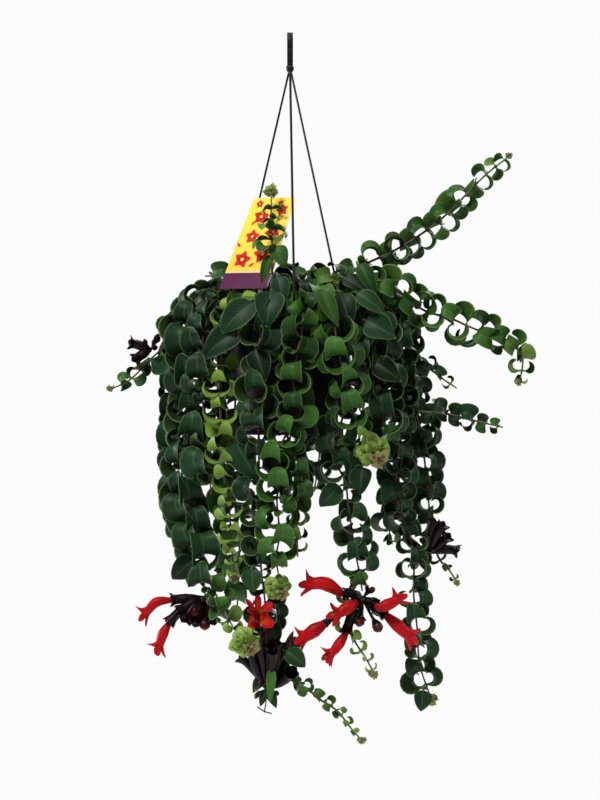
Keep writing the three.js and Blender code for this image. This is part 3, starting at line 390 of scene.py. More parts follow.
# Large leaves that lie open: base, the way the blade runs, the way its face looks, length, width
# against length, how far it rolls, and its green.
# The first green, old, is the leaf painted darker: painted shade for leaves deep in the heap.
BROAD_LOOKS = ("old", "leaf", "bright", "lime")
BROAD_LEAVES = (
    ((-42, -94, -318), (-0.62, -0.12, -0.5), (-0.25, -0.9, 0.35), 54, 0.62, 60, 1),
    ((-58, -90, -350), (-0.8, -0.1, -0.5), (-0.3, -0.9, 0.25), 58, 0.56, 70, 1),
    ((-22, -96, -304), (-0.1, -0.4, -0.9), (0.1, -0.95, 0.2), 46, 0.76, 60, 1),
    ((34, -106, -302), (0.45, -0.1, -0.9), (0.2, -0.95, 0.1), 50, 0.4, 30, 2),
    ((-66, -84, -474), (0.5, -0.1, -0.86), (-0.1, -0.97, 0.1), 62, 0.56, 30, 1),
    ((58, -92, -306), (0.3, -0.3, -0.9), (0.2, -0.95, 0.2), 44, 0.62, 70, 0),
    ((80, -68, -272), (0.5, -0.25, -0.85), (0.2, -0.95, 0.2), 44, 0.45, 60, 2),
    ((62, -70, -288), (0.8, -0.2, -0.5), (0.1, -0.9, 0.45), 46, 0.45, 50, 1),
    ((88, -86, -338), (0.85, -0.15, -0.5), (0.1, -0.97, 0.15), 42, 0.8, 40, 1),
    ((78, -86, -306), (0.85, -0.2, -0.6), (0.05, -0.95, 0.3), 44, 0.5, 60, 1),
    ((98, -84, -386), (0.8, -0.2, -0.55), (0.1, -0.97, 0.1), 40, 0.68, 50, 0),
    ((-14, -84, -286), (0.2, -0.3, -0.93), (0, -0.97, 0.2), 36, 0.62, 50, 1),
    ((-40, -100, -372), (0.3, -0.2, -0.93), (-0.1, -0.97, 0.1), 40, 0.7, 50, 0),
    ((-20, -62, -252), (0.55, -0.2, -0.8), (0.1, -0.95, 0.2), 30, 0.75, 60, 2),
    ((-23, -66, -261), (-0.3, -0.05, -0.95), (0, -0.98, 0.1), 36, 0.36, 40, 2),
    ((-112, -42, -616), (-0.75, -0.1, -0.65), (-0.1, -0.97, 0.1), 38, 0.75, 70, 1),
    ((58, -86, -530), (-0.7, -0.1, -0.7), (-0.1, -0.97, 0.1), 36, 0.75, 70, 1),
    ((84, -92, -508), (-0.1, -0.1, -1), (0, -1, 0.1), 34, 0.8, 60, 1),
    ((156, -33, -770), (-0.1, -0.1, -1), (0, -1, 0.1), 26, 0.85, 50, 1),
    ((-44, -97, -626), (0.05, -0.1, -1), (-0.1, -1, 0), 28, 0.9, 50, 1),
    ((-22, -84, -690), (0.3, -0.1, -0.95), (0, -1, 0), 26, 0.8, 60, 0),
    ((-4, -90, -722), (0.8, -0.1, -0.6), (0, -0.95, 0.3), 30, 0.75, 60, 1),
    ((-21, -98, -740), (-0.05, 0, -1), (0, -1, 0), 42, 0.28, 30, 2),
    ((-30, -84, -752), (-0.6, -0.1, -0.8), (0, -1, 0.1), 24, 0.6, 60, 1),
    ((-27, -88, -766), (-0.35, -0.1, -0.9), (0, -1, 0.1), 22, 0.5, 40, 1),
    ((-24, -88, -766), (0.35, -0.1, -0.9), (0, -1, 0.1), 24, 0.5, 40, 1),
)


# ------------------------------------------------------------------ lines and shells


def dice(seed):
    """The same chance every time, from whole numbers that stay small."""
    state = seed

    def roll():
        nonlocal state
        state = (state * 9301 + 49297) % 233280
        return state / 233280

    return roll


def unit(v):
    return np.asarray(v, float) / np.linalg.norm(v)


def polar(radius, degrees, z):
    turn = math.radians(degrees)
    return np.array((radius * math.cos(turn), radius * math.sin(turn), z))


class Route:
    """A smooth line through points, measured along its length."""

    def __init__(self, points, side=None):
        p = np.array(points, float)
        ends = np.vstack((2 * p[0] - p[1], p, 2 * p[-1] - p[-2]))
        w = np.arange(1, SPAN_STEPS + 1)[:, None] / SPAN_STEPS
        spans = [p[:1]]
        for a, b, c, d in zip(ends, ends[1:], ends[2:], ends[3:]):
            start = (c - a) / 2
            stop = (d - b) / 2
            square = 3 * (c - b) - 2 * start - stop
            cube = 2 * (b - c) + start + stop
            spans.append(b + start * w + square * w**2 + cube * w**3)
        self.line = np.vstack(spans)
        steps = np.linalg.norm(np.diff(self.line, axis=0), axis=1)
        self.run = np.concatenate(([0], np.cumsum(steps)))
        self.length = self.run[-1]
        self.side = side

    def at(self, distance):
        return np.stack([np.interp(distance, self.run, self.line[:, k]) for k in range(3)], -1)

    def heading(self, distance):
        return unit(self.at(distance + 2) - self.at(distance - 2))


def frames(line, side):
    """At each point of a line: the way it runs, and two ways across it that hardly turn."""
    way = np.gradient(line, axis=0)
    way /= np.linalg.norm(way, axis=1)[:, None]
    across = []
    last = np.array(side, float)
    for w in way:
        last = unit(last - w * last.dot(w))
        across.append(last)
    across = np.array(across)
    return way, across, np.cross(way, across)


def sweep(line, outline, scale, side):
    """Rings along a line. The outline is in two numbers, across and over, scaled at each point."""
    _, across, over = frames(line, side)
    flat = np.asarray(outline, float)
    wide = np.broadcast_to(scale, (len(line),))[:, None, None]
    spread = across[:, None] * flat[None, :, :1] + over[:, None] * flat[None, :, 1:]
    return line[:, None] + spread * wide


def turns(sides):
    """Angles that go once round."""
    return np.arange(sides) * 2 * math.pi / sides


def circle(sides):
    return np.stack((np.cos(turns(sides)), np.sin(turns(sides))), -1)


def rays(across, over, turn):
    """At each point of a line, the ways out from it, one for each angle."""
    out = across[:, None] * np.cos(turn)[None, :, None]
    return out + over[:, None] * np.sin(turn)[None, :, None]


def bezier(start, bow, end, count):
    """A line from start to end that is drawn towards the bow."""
    w = np.linspace(0, 1, count)[:, None]
    return start * (1 - w) ** 2 + bow * 2 * w * (1 - w) + end * w**2


def rounded_bar(width, thick, corner):
    """The outline of a flat bar with round corners."""
    points = []
    for quarter, (sx, sy) in enumerate(((1, 1), (-1, 1), (-1, -1), (1, -1))):
        for k in range(BAR_STEPS + 1):
            turn = (quarter + k / BAR_STEPS) * math.pi / 2
            x = sx * (width / 2 - corner) + corner * math.cos(turn)
            y = sy * (thick / 2 - corner) + corner * math.sin(turn)
            points.append((x, y))
    return np.array(points)


def round_off(profile, corner, steps=TURNED_STEPS):
    """A profile with its corners rounded, and a ring close to each so that flat walls stay flat."""
    p = np.array(profile, float)
    out = [p[0]]
    for before, here, after in zip(p, p[1:], p[2:]):
        back = np.linalg.norm(here - before)
        ahead = np.linalg.norm(after - here)
        taken = min(corner, back * CORNER_SHARE, ahead * CORNER_SHARE)
        start = here + (before - here) * taken / back
        stop = here + (after - here) * taken / ahead
        out.append(start + (before - here) * min(BESIDE, back * BESIDE_SHARE) / back)
        out.extend(bezier(start, here, stop, steps + 1))
        out.append(stop + (after - here) * min(BESIDE, ahead * BESIDE_SHARE) / ahead)
    out.append(p[-1])
    return np.array(out)


def lathe(profile, sides):
    turned = circle(sides)
    p = np.asarray(profile, float)
    x = p[:, :1] * turned[:, 0]
    y = p[:, :1] * turned[:, 1]
    return np.stack((x, y, np.broadcast_to(p[:, 1:], x.shape)), -1)


def ring_quads(rings, count, joined=False):
    """Four-cornered faces between rings of points, and back to the first ring if it is joined."""
    last = rings if joined else rings - 1
    i = np.arange(last)[:, None]
    j = np.arange(count)[None]
    after = (j + 1) % count
    low = i * count
    high = ((i + 1) % rings) * count
    return np.stack((low + j, low + after, high + after, high + j), -1).reshape(-1, 4)


def put(name, data):
    """Makes an object and adds it to the scene."""
    made = bpy.data.objects.new(name, data)
    bpy.context.scene.collection.objects.link(made)
    return made


class Shell:
    """Collects closed skins that become one piece, with a few values at every point."""

    def __init__(self):
        self.points = []
        self.faces = []
        self.values = {}
        self.finish = []
        self.count = 0

    def add(self, points, quads, caps=(), finish=0, **values):
        flat = points.reshape(-1, 3)
        if not np.isfinite(flat).all():
            raise ValueError("a skin has a point that is not a number")
        a, b, c, d = (flat[quads[:, k]] for k in range(4))
        middle = flat.mean(0)
        volume = np.einsum("ij,ij->", a - middle, np.cross(b - middle, c - middle))
        volume += np.einsum("ij,ij->", a - middle, np.cross(c - middle, d - middle))
        polygons = (quads + self.count).tolist()
        polygons += [[n + self.count for n in cap] for cap in caps]
        if volume < 0:
            polygons = [polygon[::-1] for polygon in polygons]
        self.points.append(flat)
        self.faces += polygons
        self.finish += [finish] * len(polygons)
        self.count += len(flat)
        for key, value in values.items():
            spread = np.broadcast_to(value, points.shape[:-1]).reshape(-1)
            self.values.setdefault(key, []).append(spread)

    def add_rings(self, rings, joined=False, finish=0, **values):
        """Adds rings of points, closed at both ends unless they join up."""
        n, m = rings.shape[:2]
        last = (n - 1) * m
        caps = () if joined else (range(m - 1, -1, -1), range(last, last + m))
        self.add(rings, ring_quads(n, m, joined), caps, finish, **values)

    def mesh(self, name, materials):
        if not self.points:
            raise RuntimeError(name + " has no surface")
        made = bpy.data.meshes.new(name)
        made.from_pydata((np.vstack(self.points) * MM).tolist(), [], self.faces)
        for material in materials:
            made.materials.append(material)
        return made

    def piece(self, name, materials, slot, nodes=(), sharp=HARD_SHARP):
        """Makes the mesh, and puts it on the part's one body in place of the nodes."""
        mesh = self.mesh(name, materials)
        for key, parts in self.values.items():
            attribute = mesh.attributes.new(key, "FLOAT", "POINT")
            attribute.data.foreach_set("value", np.concatenate(parts).astype(np.float32))
        mesh.polygons.foreach_set("material_index", self.finish)
        mesh.polygons.foreach_set("use_smooth", [True] * len(mesh.polygons))
        mesh.set_sharp_from_angle(angle=math.radians(sharp))
        mesh.update()
        made = put(name, mesh)
        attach(made, "root")
        if nodes:
            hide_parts(*nodes)
        return made


# ------------------------------------------------------------------ what is kept clear


def ball_round(points):
    """The middle of some points, and the radius that takes them all in."""
    centre = points.mean(0)
    return centre, np.linalg.norm(points - centre, axis=1).max()


class Room:
    """Remembers what has been placed, so that a leaf that would touch it is fitted in elsewhere."""

    def __init__(self):
        self.centres = np.zeros((0, 3))
        self.radii = np.zeros(0)
        self.clear = np.zeros(0)
        self.own = np.zeros(0)
        self.names = np.zeros(0, dtype=object)
        self.points = []

    def place(self, name, points, clearance, own=0):
        points = np.asarray(points, float).reshape(-1, 3)
        centre, radius = ball_round(points)
        self.centres = np.vstack((self.centres, centre))
        self.radii = np.append(self.radii, radius)
        self.clear = np.append(self.clear, clearance)
        self.own = np.append(self.own, own)
        self.names = np.append(self.names, name)
        self.points.append(points)

    def is_clear(self, name, points):
        if not is_outside_pot(points):
            return False
        centre, radius = ball_round(points)
        limit = np.where(self.names == name, self.own, self.clear)
        away = np.linalg.norm(self.centres - centre, axis=1)
        for k in np.nonzero((away < radius + self.radii + limit) & (limit > 0))[0]:
            gaps = points[:, None] - self.points[k][None]
            if np.einsum("ijk,ijk->ij", gaps, gaps).min() < limit[k] ** 2:
                return False
        return True


def is_outside_pot(points):
    """Whether all points are clear of the pot and saucer, as they are over the rim and the soil."""
    radius = np.hypot(points[:, 0], points[:, 1])
    z = points[:, 2]
    slope = (POT_RADIUS - POT_BASE_RADIUS) / (RIM_Z - POT_BASE_Z)
    wall = np.where(z > RIM_Z - RIM_BAND, RIM_RADIUS, POT_BASE_RADIUS + slope * (z - POT_BASE_Z))
    floor = POT_BASE_Z - SAUCER_WALL - POT_CLEAR - GAP
    saucer_top = floor + SAUCER_HEIGHT + 2 * POT_CLEAR
    in_saucer = (z < saucer_top) & (radius < SAUCER_RADIUS + POT_CLEAR)
    above_soil = z > SOIL_Z + SOIL_CROWN + POT_CLEAR
    in_mouth = above_soil & (radius < RIM_RADIUS - RIM_THICK - POT_CLEAR)
    outside = (radius > wall + POT_CLEAR) & ~in_saucer
    return bool(np.all((z > RIM_Z + POT_CLEAR) | (z < floor) | outside | in_mouth))


room = Room()


# ------------------------------------------------------------------ shader groups


class Net:
    """Adds nodes to a node tree and links them."""

    def __init__(self, tree):
        self.tree = tree

    def node(self, kind, sockets=None, **settings):
        made = self.tree.nodes.new(kind)
        for key, value in settings.items():
            setattr(made, key, value)
        for key, value in (sockets or {}).items():
            self.feed(value, made.inputs[key])
        return made

    def feed(self, value, socket):
        if isinstance(value, bpy.types.NodeSocket):
            self.tree.links.new(value, socket)
        else:
            socket.default_value = value

    def math(self, operation, *values, clamp=False):
        made = self.node("ShaderNodeMath", operation=operation, use_clamp=clamp)
        for socket, value in zip(made.inputs, values):
            self.feed(value, socket)
        return made.outputs[0]

    def mix(self, amount, low, high):
        made = self.node("ShaderNodeMix", data_type="RGBA")
        self.feed(amount, made.inputs[0])
        self.feed(low, made.inputs[6])
        self.feed(high, made.inputs[7])
        return made.outputs[2]

    def value(self, name):
        return self.node("ShaderNodeAttribute", attribute_name=name).outputs["Fac"]

    def stretch(self, value, low, high, to_low=0.0, to_high=1.0):
        made = self.node("ShaderNodeMapRange", {0: value, 1: low, 2: high, 3: to_low, 4: to_high})
        return made.outputs[0]

    def noise(self, scale, detail=3.0, roughness=0.55):
        place = self.node("ShaderNodeTexCoord").outputs["Object"]
        sockets = {"Vector": place, "Scale": scale, "Detail": detail, "Roughness": roughness}
        return self.node("ShaderNodeTexNoise", sockets).outputs[0]

    def relief(self, shader, height, strength, distance):
        """Gives a shader a fine relief. The distance is in millimetres."""
        sockets = {"Strength": strength, "Distance": distance * MM, "Height": height}
        made = self.node("ShaderNodeBump", sockets)
        self.feed(made.outputs["Normal"], shader.inputs["Normal"])


COLOR = "NodeSocketColor"
FLOAT = "NodeSocketFloat"
SURFACE = {"Color": COLOR, "Roughness": FLOAT, "Height": FLOAT}
LEAF_COLORS = ("Deep", "Light", "Young", "Under", "Rim")


def shader_group(name, inputs, build):
    """A node group that gives a surface. The builder gets the net and the group's inputs."""
    if name in bpy.data.node_groups:
        return bpy.data.node_groups[name]
    group = bpy.data.node_groups.new(name, "ShaderNodeTree")
    for key, (kind, default) in inputs.items():
        socket = group.interface.new_socket(name=key, in_out="INPUT", socket_type=kind)
        socket.default_value = default
    for key, kind in SURFACE.items():
        group.interface.new_socket(name=key, in_out="OUTPUT", socket_type=kind)
    net = Net(group)
    given = group.nodes.new("NodeGroupInput").outputs
    made = build(net, given)
    ends = group.nodes.new("NodeGroupOutput").inputs
    for key, socket in made.items():
        net.feed(socket, ends[key])
    return group


def leaf_surface_group():
    """Blade colours: old to young, upper face to underside, a pale rim that is partly the margin's
    own green and partly painted highlight, midrib and faint veins.
    """

    def build(net, given):
        along, across = net.value("along"), net.value("across")
        young, under, rim, tone = (net.value(key) for key in ("young", "under", "rim", "tone"))
        mottle = net.noise(55.0)
        share = net.math("MULTIPLY_ADD", mottle, 0.5, net.math("MULTIPLY", tone, 0.8))
        share = net.math("SUBTRACT", share, 0.25, clamp=True)
        blade = net.mix(share, given["Deep"], given["Light"])
        blade = net.mix(young, blade, given["Young"])
        side = net.math("ABSOLUTE", across)
        midrib = net.stretch(side, 0.02, 0.12, 1.0, 0.0)
        blade = net.mix(net.math("MULTIPLY", midrib, 0.14), blade, given["Rim"])
        slant = net.math("MULTIPLY_ADD", side, -0.32, along)
        veins = net.math("SINE", net.math("MULTIPLY", slant, 62.0))
        veins = net.stretch(veins, 0.7, 1.0)
        blade = net.mix(net.math("MULTIPLY", veins, 0.05), blade, given["Rim"])
        blade = net.mix(under, blade, given["Under"])
        # The pale rim is partly the margin's own green and partly painted highlight along the edge.
        edge = net.stretch(rim, 0.35, 0.95)
        color = net.mix(net.math("MULTIPLY", edge, 0.6), blade, given["Rim"])
        rough = net.math("MULTIPLY_ADD", mottle, 0.16, given["Roughness"])
        rough = net.math("MULTIPLY_ADD", under, 0.18, rough)
        height = net.math("MULTIPLY_ADD", veins, 0.25, net.math("MULTIPLY", mottle, 0.6))
        return {"Color": color, "Roughness": rough, "Height": height}

    inputs = {key: (COLOR, (0.03, 0.08, 0.03, 1.0)) for key in LEAF_COLORS}
    inputs["Roughness"] = (FLOAT, 0.3)
    return shader_group("Leaf surface", inputs, build)


def grain_group():
    """A fine grain with broader patches, for moulded plastic, soil and the dark sheaths; on a
    sheath the pale patches are painted sheen.
    """

    def build(net, given):
        fine = net.noise(given["Fine scale"], 4.0, 0.6)
        broad = net.noise(given["Broad scale"], 2.0, 0.5)
        share = net.math("MULTIPLY_ADD", fine, 0.45, net.math("MULTIPLY", broad, 0.75))
        share = net.stretch(share, 0.42, 0.8)
        color = net.mix(share, given["Dark"], given["Pale"])
        rough = net.math("MULTIPLY_ADD", share, given["Spread"], given["Roughness"])
        return {"Color": color, "Roughness": rough, "Height": fine}

    inputs = {
        "Dark": (COLOR, (0.01, 0.01, 0.012, 1.0)),
        "Pale": (COLOR, (0.04, 0.04, 0.045, 1.0)),
        "Fine scale": (FLOAT, 900.0),
        "Broad scale": (FLOAT, 24.0),
        "Roughness": (FLOAT, 0.35),
        "Spread": (FLOAT, 0.2),
    }
    return shader_group("Grain", inputs, build)


# ------------------------------------------------------------------ materials


def rgba(color):
    return (color[0], color[1], color[2], 1.0)


# Bumps are a strength and a distance in millimetres. Scales are a fine and a broad one.
PLAIN_SPECULAR = 0.5
LEAF_SPECULAR = 0.2
LEAF_BUMP = (0.35, 0.4)
PLASTIC_SPECULAR = 0.3
PLASTIC_BUMP = (0.12, 0.15)
PLASTIC_SCALES = (1400.0, 22.0)
PLASTIC_SPREAD = 0.18
SHEATH_SPECULAR = 0.22
SHEATH_BUMP = (0.3, 0.25)
SHEATH_SCALES = (500.0, 60.0)
SHEATH_FINISH = (0.3, 0.22)
SOIL_BUMP = (0.9, 1.2)
SOIL_SCALES = (420.0, 90.0)
SOIL_FINISH = (0.8, 0.15)
PETAL_SPECULAR = 0.16
FLECK_COLOR = (0.11, 0.05, 0.03, 1.0)

# The old look is the leaf's painted shade: its greens are darker copies of the leaf's.
LOOK_SLOTS = {"leaf": "leaf", "old": "leaf", "bright": "leaf_bright", "lime": "leaf_young"}

# The leaf materials: name, and the settings that give the darker and lighter green of the blade,
# the green of young leaves, and the underside
LEAF_LOOKS = {
    # The old look paints shade: its greens are the leaf's painted darker, for the crown and some
    # broad leaves.
    "old": ("Leaf old", "old_deep", "old_light", "light_color", "old_deep"),
    "leaf": ("Leaf", "deep_color", "light_color", "bright_color", "under_color"),
    "bright": ("Leaf bright", "bright_deep_color", "bright_color", "young_color", "bright_under"),
    "lime": ("Leaf lime", "lime_color", "young_color", "tip_color", "lime_under"),
    "bud": ("Leaf bud", "bud_color", "bud_light", "bud_light", "bud_color"),
}


def new_material(name):
    """A material with nodes, the net that adds to them, and its shader."""
    material = bpy.data.materials.new(name)
    material.use_nodes = True
    tree = material.node_tree
    return material, Net(tree), tree.nodes["Principled BSDF"]


def grouped_material(name, group, values, bump, specular=PLAIN_SPECULAR, blush=None):
    """A material whose colour, roughness and fine relief come from a shader group."""
    if name in bpy.data.materials:
        return bpy.data.materials[name]
    material, net, shader = new_material(name)
    surface = net.node("ShaderNodeGroup", values, node_tree=group)
    color = surface.outputs["Color"]
    if blush:
        color = net.mix(net.value("blush"), color, rgba(blush))
    net.feed(color, shader.inputs["Base Color"])
    net.feed(surface.outputs["Roughness"], shader.inputs["Roughness"])
    net.relief(shader, surface.outputs["Height"], *bump)
    shader.inputs["Specular IOR Level"].default_value = specular
    return material


def leaf_materials():
    tint = bpy.context.scene.plant_leaves
    made = {}
    for look, (name, *keys) in LEAF_LOOKS.items():
        # The last colour is the pale rim, which is partly painted highlight.
        colors = [rgba(getattr(tint, key)) for key in (*keys, "rim_color")]
        values = dict(zip(LEAF_COLORS, colors), Roughness=tint.roughness)
        made[look] = grouped_material(name, leaf_surface_group(), values, LEAF_BUMP, LEAF_SPECULAR)
    return made


def grain_material(name, colors, scales, finish, bump, specular=PLAIN_SPECULAR, blush=None):
    """Two colours in a fine and a broad grain. The finish is roughness and how far it spreads."""
    keys = ("Dark", "Pale", "Fine scale", "Broad scale", "Roughness", "Spread")
    values = dict(zip(keys, (*map(rgba, colors), *scales, *finish)))
    return grouped_material(name, grain_group(), values, bump, specular, blush)


def plastic_material(name, dark, pale, roughness):
    return grain_material(
        name, (dark, pale), PLASTIC_SCALES, (roughness, PLASTIC_SPREAD),
        PLASTIC_BUMP, PLASTIC_SPECULAR,
    )


def sheath_material():
    # The violet-brown patches of its grain are painted sheen on the near-black sheath.
    tint = bpy.context.scene.plant_flowers
    return grain_material(
        "Sheath", (tint.sheath_color, tint.sheath_light), SHEATH_SCALES, SHEATH_FINISH,
        SHEATH_BUMP, SHEATH_SPECULAR, tint.bud_blush,
    )


def stalk_material():
    """Maroon-brown bark that turns green towards a young tip."""
    if "Stalk" in bpy.data.materials:
        return bpy.data.materials["Stalk"]
    material, net, shader = new_material("Stalk")
    tint = bpy.context.scene.plant_leaves
    speckle = net.noise(420.0, 4.0)
    bark = net.mix(net.stretch(speckle, 0.35, 0.7), rgba(tint.bark_color), FLECK_COLOR)
    color = net.mix(net.value("young"), bark, rgba(tint.young_stalk_color))
    net.feed(color, shader.inputs["Base Color"])
    net.feed(net.stretch(speckle, 0.3, 0.7, 0.42, 0.62), shader.inputs["Roughness"])
    net.relief(shader, speckle, 0.3, 0.3)
    return material


def petal_material():
    """Scarlet with a pinkish edge, streaks along the tube and an orange-yellow throat."""
    if "Petal" in bpy.data.materials:
        return bpy.data.materials["Petal"]
    material, net, shader = new_material("Petal")
    tint = bpy.context.scene.plant_flowers
    cloud = net.noise(120.0)
    along, inside, rim = (net.value(key) for key in ("along", "inside", "rim"))
    color = net.mix(net.stretch(cloud, 0.3, 0.75), rgba(tint.petal_color), rgba(tint.petal_light))
    root = net.stretch(along, 0.12, 0.5, 0.55, 0.0)
    color = net.mix(root, color, rgba(tint.petal_root))
    color = net.mix(net.math("MULTIPLY", rim, 0.55), color, rgba(tint.petal_rim))
    streaks = net.math("SINE", net.math("MULTIPLY", net.value("around"), 30.0))
    streaks = net.stretch(streaks, 0.2, 1.0)
    throat = net.math("MULTIPLY", inside, net.stretch(along, 0.97, 0.6))
    glow = net.math("MULTIPLY", throat, net.math("MULTIPLY_ADD", streaks, -0.35, 1.0))
    color = net.mix(glow, color, rgba(tint.throat_color))
    net.feed(color, shader.inputs["Base Color"])
    net.feed(net.stretch(cloud, 0.3, 0.7, 0.42, 0.58), shader.inputs["Roughness"])
    net.relief(shader, net.math("MULTIPLY_ADD", streaks, 0.4, cloud), 0.25, 0.3)
    shader.inputs["Specular IOR Level"].default_value = PETAL_SPECULAR
    return material


# ------------------------------------------------------------------ leaves


# Two outlines of a leaf: how near to its base it is widest, and how pointed it is
ROLLED = (0.8, 0.48)
POINTED = (0.64, 0.86)

# Where the first and last ring of a blade stand, half the width of a leaf that is as thick as its
# setting says, where across the blade its pale rim, partly painted highlight, starts, and how its
# edge waves
LEAF_ENDS = (0.012, 0.985)
FULL_HALF = 15
RIM_START = 0.88
WAVES = 9.0
WAVE_TURN = 6.28


def drawn(span, chance):
    """The first number, and up to the second one more."""
    return span[0] + span[1] * chance()


def width_share(s, outline):
    """Half the width at a share of the length, against the widest."""
    return np.sin(math.pi * s ** outline[0]) ** outline[1]


class Leaf:
    """A blade that leaves a stem at its base and rolls back towards the stem's root."""

    def __init__(self, base, out, up, length, aspect, roll, lift, outline=ROLLED):
        self.base = np.asarray(base, float)
        self.outline = outline
        self.out = out
        self.up = up
        self.across = unit(np.cross(up, out))
        self.half = length * aspect / 2
        self.roll = roll
        self.lift = lift
        heading = self.heading((np.arange(ROLL_STEPS) + 0.5) / ROLL_STEPS)
        step = length / ROLL_STEPS
        self.steps = np.linspace(0, 1, ROLL_STEPS + 1)
        self.outs = np.concatenate(([0], np.cumsum(step * np.cos(heading))))
        self.ups = np.concatenate(([0], np.cumsum(step * np.sin(heading))))

    def heading(self, s):
        """The angle at which the midline leaves the stem, which falls as the blade rolls."""
        return self.lift - self.roll * (0.5 * s + 0.5 * s * s)

    def midline(self, s):
        """Points on the midline, the way to the hollow side, and half the width."""
        s = np.asarray(s, float)
        out = np.interp(s, self.steps, self.outs)[:, None]
        up = np.interp(s, self.steps, self.ups)[:, None]
        heading = self.heading(s)[:, None]
        centre = self.base + self.out * out + self.up * up
        inward = self.out * np.sin(heading) - self.up * np.cos(heading)
        return centre, inward, self.half * width_share(s, self.outline)

    def marks(self):
        """Points over the whole blade, by which it is kept clear of other things."""
        centre, _, half = self.midline(LEAF_MARKS)
        sides = np.array(LEAF_SIDES)[None, :, None]
        return (centre[:, None] + self.across * half[:, None, None] * sides).reshape(-1, 3)


# How many rings a blade has, and where across it their points stand.
FINE = (14, (-1, -0.93, -0.6, -0.28, 0, 0.28, 0.6, 0.93, 1))
PLAIN = (10, (-1, -0.9, -0.45, 0, 0.45, 0.9, 1))


def add_leaf(shell, leaf, chance, young, detail=FINE, finish=0, ruffle=1):
    """One blade whose sides bend away from its hollow side, with a wavy edge and a pale rim that is
    partly painted highlight.
    """
    shape = bpy.context.scene.plant_leaves
    count, sides = detail
    s = np.linspace(0.0, LEAF_ENDS[1], count)
    s[0] = LEAF_ENDS[0]
    t = np.array(sides)[None]
    centre, inward, half = leaf.midline(s)
    neck = shape.neck * (0.4 + 0.6 * leaf.half / FULL_HALF) * (1 - s) ** 3
    half = np.maximum(half, neck)
    arch = -shape.arch * (0.75 + 0.5 * chance()) * np.sin(math.pi * s**0.7)[:, None]
    wave = shape.wave * ruffle * (2 * chance() - 1)
    phase = WAVE_TURN * chance()
    tone = chance()
    ripple = wave * np.sin(WAVES * s[:, None] + phase + np.sign(t)) * np.abs(t) ** 3
    groove = shape.groove * (0.35 if leaf.outline is POINTED else 1)
    keel = groove * np.exp(-((t / 0.12) ** 2)) * np.sin(math.pi * s)[:, None]
    sink = half[:, None] * (arch * t * t + ripple) + keel
    body = shape.thickness * (0.5 + 0.5 * leaf.half / FULL_HALF)
    thick = body * (1 - 0.55 * t**4) * np.minimum(1, 0.35 + 3.0 * (1 - s))[:, None] / 2
    turn = shape.twist * (2 * chance() - 1) * s + shape.twist * 0.6 * (chance() - 0.5)
    across = leaf.across * np.cos(turn)[:, None] + inward * np.sin(turn)[:, None]
    inward = inward * np.cos(turn)[:, None] - leaf.across * np.sin(turn)[:, None]
    flat = centre[:, None] + across[:, None] * (half[:, None] * t)[..., None]
    top = flat + inward[:, None] * (sink - thick)[..., None]
    low = flat + inward[:, None] * (sink + thick)[..., None]
    rings = np.concatenate((top, low[:, ::-1]), 1)
    both = np.concatenate((t, t[:, ::-1]), 1)
    under = np.concatenate((np.zeros_like(t), np.ones_like(t)), 1)
    # The pale rim, partly painted highlight, covers the outer share of the width and the tip.
    edge = np.clip((np.abs(both) - RIM_START) / (1 - RIM_START), 0, 1)
    edge = np.maximum(edge, np.clip((s[:, None] - 0.94) / 0.045, 0, 1))
    shell.add_rings(
        rings, finish=finish, along=s[:, None], across=both, young=young, under=under,
        rim=edge, tone=tone,
    )


# Ways to fit a leaf in: its size against the full one, and how far it turns round the stem.
TRIES = (
    (1, 0), (1, 0.35), (1, -0.35), (0.85, 0), (0.85, 0.5), (0.85, -0.5),
    (0.68, 0), (0.68, 0.7), (0.68, -0.7), (0.5, 0), (0.5, 0.5), (0.5, -0.5),
)


def leaves_along(shell, stem, route, chance):
    """Walks up a stem, adds the leaves that fit, and returns where they stand."""
    shape = bpy.context.scene.plant_leaves
    distance = stem.bare
    stands = []
    facing = 2 * math.pi * chance()
    while distance < route.length - 2:
        young = min(1, (route.length - distance) / stem.fresh)
        up = route.heading(distance)
        over = unit(route.side - up * route.side.dot(up))
        face = np.cross(up, over)
        base = route.at(distance)
        light = unit((base[0], base[1], LIGHT_RISE)) * shape.light
        size = shape.size * stem.leaf * (YOUNG_SIZE + (1 - YOUNG_SIZE) * young)
        for half in (0, 1):
            wobble = (chance() - 0.5) * LEAF_WOBBLE
            curl = 1 + stem.vary * (chance() - 0.6)
            grown = size * drawn(LEAF_SHARE, chance) * (0.6 + 0.4 * curl)
            roll = shape.roll * stem.curl * curl * (0.72 + 0.28 * young)
            lift = drawn(LEAF_LIFT, chance)
            for share, turn in TRIES:
                angle = facing + half * math.pi + wobble + turn
                out = face * math.cos(angle) + over * math.sin(angle) + light
                out = unit(out - up * out.dot(up))
                leaf = Leaf(base, out, up, grown * share, shape.aspect, roll, lift)
                marks = leaf.marks()
                if not room.is_clear(stem.name, marks):
                    continue
                room.place(stem.name, marks, LEAF_CLEAR, OWN_CLEAR)
                detail = FINE if grown * share > FINE_LENGTH else PLAIN
                add_leaf(shell, leaf, chance, (1 - young) ** 1.5, detail, stem.finish)
                stands.append(distance)
                break
        distance += shape.internode * (YOUNG_INTERNODE + (1 - YOUNG_INTERNODE) * young)
        facing += math.pi / 2 + (chance() - 0.5) * PAIR_DRIFT
    return stands


def add_stalk(shell, route, stands):
    """A thin round stem, a little swollen where its leaves stand."""
    count = max(6, int(route.length / 5))
    run = np.linspace(0, route.length, count)
    radius = STEM_RADIUS * (1 - 0.45 * run / route.length)
    for stand in stands:
        radius += 0.14 * np.exp(-(((run - stand) / 2.5) ** 2))
    rings = sweep(route.at(run), circle(STEM_SIDES), radius, route.side)
    left = route.length - run
    shell.add_rings(rings, young=np.clip(1 - left / YOUNG_STALK, 0, 1)[:, None])


